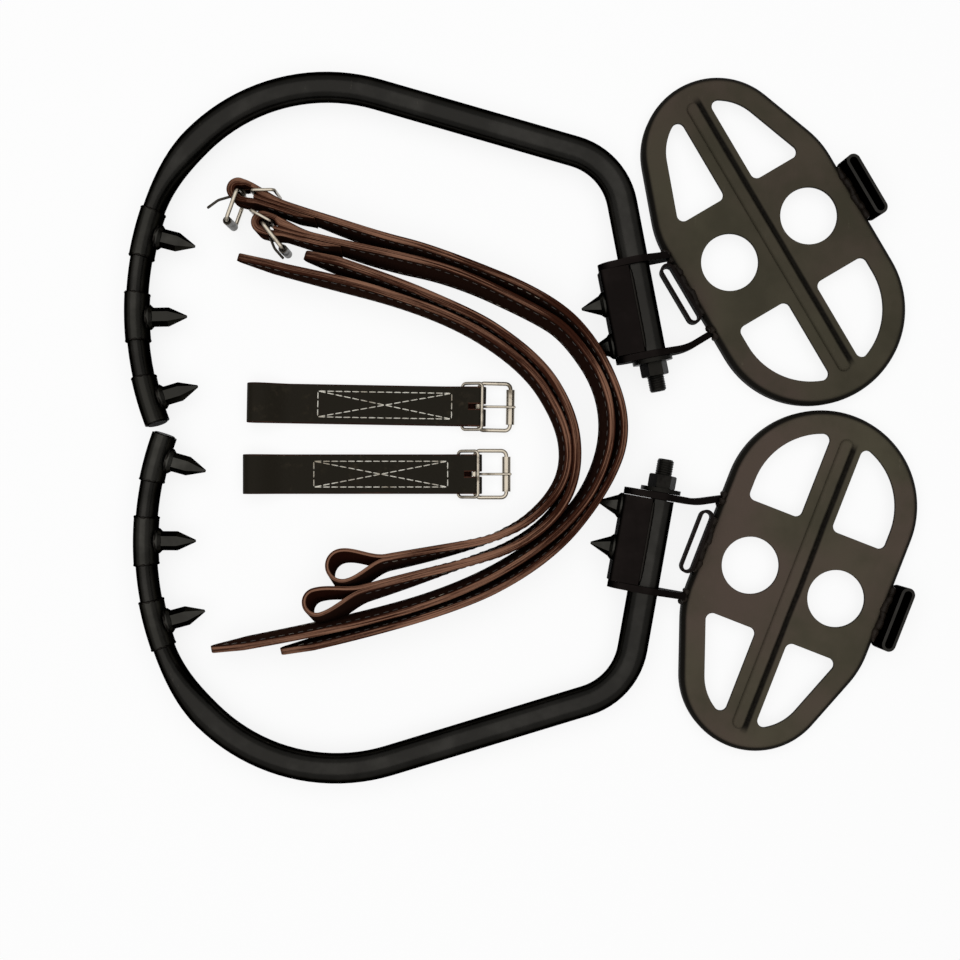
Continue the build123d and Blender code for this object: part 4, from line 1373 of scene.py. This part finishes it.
# Climbers
@dataclass
class Climber:
    """Welds, threads and finishes of one climber, drawn in its own frame."""

    name: str
    mirrored: bool
    place: Pair
    turn: float
    plate_centre: Pair
    plate_turn: float
    # Factor on the footplate tread's brightness; the right climber's tread is lighter
    tread_gain: float
    axis_height: float = 15.6
    shank: float = 113.0
    bend_radius: float = 50.0
    bend_turn: float = 63.0
    straight: float = 154.0
    crown_radius: float = 137.0
    crown_turn: float = 87.5
    tip_radius: float = 234.0
    tip_half_width: float = 7.6
    tip_half_height: float = 14.3
    sleeve_wall: float = 1.2
    sleeve_length: float = 35.0
    sleeve_pitch: float = 63.0
    sleeve_count: int = 3
    sleeve_weld_points: int = 90
    channel_back: float = 27.25
    channel_length: float = 65.0
    channel_spikes: Tuple[float, ...] = (9.0, 40.5)
    channel_weld_offset: float = -5.1
    channel_weld_level: float = 10.9
    channel_weld_inset: float = 2.0
    channel_weld_points: int = 130
    nut_end: float = -18.8
    stud_end: float = -30.8
    stud_radius: float = 6.0
    thread_pitch: float = 1.75
    thread_start: float = 0.5
    thread_end: float = 0.15
    thread_sink: float = 0.2
    thread_height: float = 0.62
    thread_sharpness: float = 0.96
    thread_runout: float = 1.8
    thread_fall: float = 0.9
    thread_rows: int = 120
    thread_sides: int = 40
    upper_arm_level: float = 67.9
    lower_arm_station: float = -42.0
    plate_half_width: float = 72.5
    arm_weld_inset: float = 0.6
    loop_station: float = -5.0
    loop_weld_half: float = 22.0
    loop_weld_points: int = 110
    loop_weld_inset: float = 0.7
    loop_weld_height: float = 11.9
    loop_weave: float = 0.8
    loop_weave_rate: float = 0.31
    loop_wave: float = 0.5
    loop_wave_rate: float = 0.9

    def to_row(self, points: Array) -> Array:
        """Move points from the climber's own frame to the row frame.

        Args:
            points: Points of the climber's frame.

        Returns:
            Points of the row frame.
        """
        own = points[..., :2] * np.array([1.0, -1.0 if self.mirrored else 1.0])
        flat = turned(own, self.turn) + np.array(self.place) + CENTRING
        return np.concatenate([flat, points[..., 2:] + self.axis_height], axis=-1)

    def on_plate(self, points: Array) -> Array:
        """Points of the footplate's own frame, measured from the floor, in the climber's frame."""
        flat = turned(points, self.plate_turn) + np.array(self.plate_centre)
        return np.concatenate([flat, points[..., 2:] - self.axis_height], axis=-1)

    def tip_start(self) -> Tuple[Array, float]:
        """Walk along shank, bend, straight and crown to the start of the tip's arc.

        Returns:
            The point and its heading in radians.
        """
        point = np.array([0.0, self.shank])
        heading = 0.5 * math.pi
        for radius, turn, run in ((self.bend_radius, self.bend_turn, self.straight),
                                  (self.crown_radius, self.crown_turn, 0.0)):
            side = compass(heading)[1]
            heading += math.radians(turn)
            along, end_side = compass(heading)
            point = point + radius * (side - end_side) + run * along
        return point, heading

    def tip_frame(self, run: float) -> Tuple[Array, Array]:
        """Place on the tip's arc after a run.

        Args:
            run: Length along the tip from its start.

        Returns:
            The point and the unit vector into the hoop.
        """
        point, heading = self.tip_start()
        inward = compass(heading + run / self.tip_radius)[1]
        spot = point + self.tip_radius * (compass(heading)[1] - inward)
        return np.append(spot, 0.0), np.append(inward, 0.0)

    def sleeve_weld(self, run: float) -> Sheet:
        """The bead at a sleeve's end, on an ellipse half of the sleeve's wall larger than the oval tip.

        Args:
            run: Length along the tip from its start.

        Returns:
            The bead.
        """
        spot, inward = self.tip_frame(run)
        angle = np.linspace(0.0, FULL_TURN, self.sleeve_weld_points, endpoint=False)[:, None]
        grow = 0.5 * self.sleeve_wall
        ring = (spot + np.cos(angle) * inward * (self.tip_half_width + grow)
                + np.sin(angle) * UP * (self.tip_half_height + grow))
        return SLEEVE_BEAD.sheet(ring, True)

    def hoop_welds(self) -> List[Sheet]:
        """Beads round the sleeves' ends, but for the plugged one, collars on the spikes and channel beads.

        Returns:
            The sheets of the welds.
        """
        sheets: List[Sheet] = []
        total = (self.sleeve_count - 1) * self.sleeve_pitch + self.sleeve_length
        for index in range(self.sleeve_count):
            first = total - index * self.sleeve_pitch - self.sleeve_length
            sheets.append(self.sleeve_weld(first))
            if index:
                sheets.append(self.sleeve_weld(first + self.sleeve_length))
            spot, inward = self.tip_frame(first + 0.5 * self.sleeve_length)
            seat = spot + inward * (self.tip_half_width + self.sleeve_wall)
            sheets.append(TIP_COLLAR.sheet(seat, inward))
        for level in self.channel_spikes:
            seat = np.array([-self.channel_back, level, 0.0])
            sheets.append(CHANNEL_COLLAR.sheet(seat, np.array([-1.0, 0.0, 0.0])))
        inset = self.channel_weld_inset
        run = np.linspace(inset, self.channel_length - inset, self.channel_weld_points)
        for side in (-1.0, 1.0):
            line = np.column_stack([np.full_like(run, self.channel_weld_offset), run,
                                    np.full_like(run, side * self.channel_weld_level)])
            sheets.append(CHANNEL_BEAD.sheet(line))
        return sheets

    def step_welds(self) -> List[Sheet]:
        """Beads where the arms and strap loops meet the footplate's edge.

        An arm's bead follows an arch over the arm, and a loop's bead a line along the edge that weaves by
        one sine in width and by another in height.

        Returns:
            The sheets of the welds.
        """
        sheets: List[Sheet] = []
        angle = math.radians(self.plate_turn)
        edge = -self.plate_half_width
        upper = (self.upper_arm_level - self.plate_centre[1] - edge * math.sin(angle)) / math.cos(angle)
        for station in (upper, self.lower_arm_station):
            rise = [(station - half, height) for half, height in ARM_ARCH]
            fall = [(station + half, height) for half, height in ARM_ARCH[::-1]]
            arch = soft_line([*rise, (station, ARM_ARCH_TOP), *fall], ARM_ARCH_PITCH)
            line = np.column_stack([np.full(len(arch), edge + self.arm_weld_inset), arch])
            sheets.append(ARM_BEAD.sheet(self.on_plate(line)))
        run = np.linspace(-self.loop_weld_half, self.loop_weld_half, self.loop_weld_points)
        weave = self.loop_weave * np.sin(run * self.loop_weave_rate)
        reach = self.plate_half_width - self.loop_weld_inset + weave
        height = self.loop_weld_height + self.loop_wave * np.sin(run * self.loop_wave_rate)
        for side in (-1.0, 1.0):
            line = np.column_stack([side * reach, run + self.loop_station, height])
            sheets.append(LOOP_BEAD.sheet(self.on_plate(line)))
        return sheets

    def stud_thread(self) -> List[Sheet]:
        """Thread on the stud's free end.

        The radius is the bar's own, less a little, plus the thread's height times a rounded triangle wave
        of the helix phase, and it runs out at the end.

        Returns:
            The threaded end.
        """
        first = self.nut_end + self.thread_start
        last = self.stud_end + self.thread_end
        run = np.linspace(first, last, self.thread_rows)[:, None]
        angle = np.linspace(0.0, FULL_TURN, self.thread_sides, endpoint=False)
        phase = 2.0 * np.pi * run / self.thread_pitch + angle
        ridge = 0.5 + np.arcsin(self.thread_sharpness * np.sin(phase)) / math.pi
        worn_off = 1.0 - smooth_step((run - self.stud_end) / self.thread_runout)
        core = self.stud_radius - self.thread_sink
        radius = core + self.thread_height * ridge - self.thread_fall * worn_off
        level = np.broadcast_to(run, radius.shape)
        return [Sheet(np.stack([radius * np.cos(angle), level, radius * np.sin(angle)], axis=-1))]

    def build(self, finishes: Finishes) -> None:
        """Make the welds and the thread.

        Args:
            finishes: Materials.
        """
        step_body = f"{self.name}_step"
        for kind, sheets, material, body, slot in (
                ("hoop_welds", self.hoop_welds(), finishes.weld, ROOT_BODY, Slot.TUBE),
                ("step_welds", self.step_welds(), finishes.plate_weld, step_body, Slot.PLATE),
                ("stud_thread", self.stud_thread(), finishes.hardware, ROOT_BODY, Slot.HARDWARE)):
            for sheet in sheets:
                sheet.points = self.to_row(sheet.points)
            make_piece(f"{self.name}_{kind}", sheets, material, body, WELD_CREASE)

    def plate_material(self) -> bpy.types.Material:
        """The footplate's paint, laid out along the plate.

        Returns:
            The material.
        """
        ends = self.to_row(self.on_plate(np.array([[0.0, 0.0, 0.0], [1.0, 0.0, 0.0]])))
        span = ends[1] - ends[0]
        turn = math.atan2(span[1], span[0])
        return PLATE_PAINT.material(self.name, tuple(ends[0, :2] * MM), turn, self.tread_gain)

    def dress(self, nodes: Dict[str, bpy.types.Object], finishes: Finishes) -> None:
        """Give the climber's solids their finishes.

        Args:
            nodes: Solids by name.
            finishes: Materials.
        """
        pieces_of = {
            self.plate_material(): ("footplate",),
            finishes.hardware: ("pivot_stud", "pivot_washer", "pivot_nut"),
            finishes.channel: ("spike_channel", "upper_arm", "lower_arm", "inner_strap_loop"),
            finishes.sleeve: ("tip_sleeve", "middle_sleeve", "rear_sleeve", "tip_plug", "tip_spikes",
                              "channel_spikes"),
            finishes.tube: ("hoop_tube", "outer_strap_loop"),
        }
        for material, pieces in pieces_of.items():
            for piece in pieces:
                paint_solid(nodes[f"{self.name}_{piece}"], material)


@dataclass
class BuckleSet:
    """Wire frame, roller, prong and keeper of one buckle."""

    prefix: str
    upright: bool

    def dress(self, nodes: Dict[str, bpy.types.Object], finishes: Finishes) -> None:
        """Give the wires their finish.

        Args:
            nodes: Solids by name.
            finishes: Materials.
        """
        turning = finishes.roller if self.upright else finishes.nickel
        finish_of = {"frame": finishes.nickel, "keeper": finishes.nickel,
                     "roller": turning, "prong": turning}
        for part, material in finish_of.items():
            paint_solid(nodes[f"{self.prefix}_{part}"], material)


# Studio
@dataclass
class Studio:
    """Pale floor, soft overhead light and a camera that looks straight down."""

    camera_place: Tuple[float, float, float] = (-0.0321, -0.0391, 1.014)
    lens: float = 50.0
    sensor: float = 36.0
    near: float = 0.01
    floor_half: float = 4.0
    floor_level: float = -0.0003
    floor_glow: float = 0.84
    floor_bounce: float = 0.5
    floor_shown: float = 0.95
    sky: float = 0.16
    lamp_size: float = 3.0
    lamp_place: Tuple[float, float, float] = (-0.2, 0.1, 1.6)
    lamp_power: float = 42.0

    def build(self) -> None:
        """Make camera, floor, lamp and sky."""
        self.camera()
        self.floor()
        self.lamp()
        self.world()
        bpy.context.scene.view_settings.view_transform = "Standard"

    def camera(self) -> None:
        """Camera above the set."""
        data = bpy.data.cameras.new("camera")
        data.lens = self.lens
        data.sensor_width = self.sensor
        data.clip_start = self.near
        camera = bpy.data.objects.new("camera", data)
        camera.location = self.camera_place
        bpy.context.scene.collection.objects.link(camera)
        bpy.context.scene.camera = camera

    def floor(self) -> None:
        """White floor that keeps a soft shadow: part lit, part even white to the eye."""
        signs = ((-1, -1), (1, -1), (1, 1), (-1, 1))
        corners = [(x * self.floor_half, y * self.floor_half, self.floor_level) for x, y in signs]
        mesh = bpy.data.meshes.new("floor")
        mesh.from_pydata(corners, [], [(0, 1, 2, 3)])
        graph = Graph.paint("white_floor")
        seen = graph.seen()
        paint = graph.tint(seen, (self.floor_bounce,) * 3, (self.floor_shown,) * 3)
        lit = graph.node("ShaderNodeBsdfDiffuse", None, {"Color": paint})
        glow = graph.node("ShaderNodeEmission", None, {"Color": WHITE, "Strength": 1.0})
        graph.close(graph.node("ShaderNodeMixShader", None, {0: seen * self.floor_glow, 1: lit, 2: glow}))
        mesh.materials.append(graph.holder)
        floor = bpy.data.objects.new("floor", mesh)
        bpy.context.scene.collection.objects.link(floor)

    def lamp(self) -> None:
        """One large soft lamp overhead."""
        data = bpy.data.lights.new("overhead", "AREA")
        data.shape = "SQUARE"
        data.size = self.lamp_size
        data.energy = self.lamp_power
        lamp = bpy.data.objects.new("overhead", data)
        lamp.location = self.lamp_place
        bpy.context.scene.collection.objects.link(lamp)

    def world(self) -> None:
        """Even pale sky, white to the eye and in reflections."""
        graph = Graph(bpy.data.worlds.new("sky"))
        even, white = (graph.node("ShaderNodeBackground", None, {"Color": WHITE, "Strength": strength})
                       for strength in (self.sky, 1.0))
        mixed = graph.node("ShaderNodeMixShader", None, {0: graph.seen(), 1: even, 2: white})
        graph.close(mixed, "ShaderNodeOutputWorld")
        bpy.context.scene.world = graph.holder


CLIMBERS = (
    Climber("left", mirrored=False, place=(98.2, 54.0), turn=10.9,
            plate_centre=(103.0, 69.0), plate_turn=19.6, tread_gain=1.0),
    Climber("right", mirrored=True, place=(104.4, -57.3), turn=-10.1,
            plate_centre=(110.0, 46.0), plate_turn=11.2, tread_gain=1.2),
)
LONG_STRAPS = (
    LongStrap(
        "outer_buckle_strap", Lie.FIRST, fold_radius=6.0, neck=38.0,
        lift=4.6, turned_back=61.0, eye_length=10.8,
        route=[(-207.5, 171.5), (-176, 161.5), (-112, 135), (-62, 122.5), (22, 88.5), (56, 52.5), (77, -2),
               (61.5, -47.5), (19, -100.5), (-58.5, -140), (-179, -169.5)],
        lean_route=[(0, 0), (40, 0), (95, 11), (220, 12), (300, 9), (560, 8), (720, 4)]),
    LongStrap(
        "second_buckle_strap", Lie.FIRST, fold_radius=6.0, neck=38.0,
        lift=4.6, turned_back=61.0, eye_length=7.4,
        route=[(-189.5, 147.2), (-158, 138.2), (-105, 118.6), (-50, 107.5), (10.6, 79.9), (35, 64),
               (61.5, 24), (63.5, -20.5), (39, -69), (-23.5, -115), (-118, -146.5), (-231, -168)],
        lean_route=[(0, 0), (35, 0), (85, 15), (130, 15), (220, 11), (300, 10), (420, 9), (560, 8),
                    (720, 4)]),
    LongStrap(
        "third_loop_strap", Lie.LAST, fold_radius=10.0, neck=33.0, ply=2.8,
        route=[(-211, 124), (-172, 112.3), (-63, 84), (2.5, 44), (30, 1), (34.5, -31.5), (22, -57.5),
               (-6.5, -82), (-52, -95.5), (-130.5, -110.5)],
        lean_route=[(0, -20), (50, -20), (140, 6), (260, 8), (370, 4), (410, 8), (445, 6), (475, 2),
                    (560, 2)]),
    LongStrap(
        "inner_loop_strap", Lie.LAST, fold_radius=7.8, neck=36.0, ply=3.2,
        route=[(-161.5, 123.5), (-53, 90.5), (11, 48.5), (37, 7), (41.5, -31.5), (30.5, -63.5), (-3, -92),
               (-52.5, -108.5), (-149, -137.5)],
        lean_route=[(0, -20), (50, -20), (140, 5), (260, 5), (380, 3), (440, 9), (560, 10)]),
)
SHORT_STRAPS = (
    ShortStrap("upper_short_strap", place=(-30.5, 13.0), turn=-1.0),
    ShortStrap("lower_short_strap", place=(-33.5, -38.0), turn=0.0),
)
BUCKLE_SETS = (
    BuckleSet("outer_buckle", upright=True),
    BuckleSet("second_buckle", upright=True),
    BuckleSet("upper_short", upright=False),
    BuckleSet("lower_short", upright=False),
)


def main() -> None:
    """Build the studio, dress the solids and add the soft and welded pieces."""
    logging.basicConfig(level=logging.INFO, format="%(message)s")
    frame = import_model()
    Studio().build()
    finishes = Finishes()
    for climber in CLIMBERS:
        climber.dress(frame["nodes"], finishes)
        climber.build(finishes)
    for strap in LONG_STRAPS + SHORT_STRAPS:
        strap.build(finishes)
    for buckle in BUCKLE_SETS:
        buckle.dress(frame["nodes"], finishes)


if __name__ == "__main__":
    main()
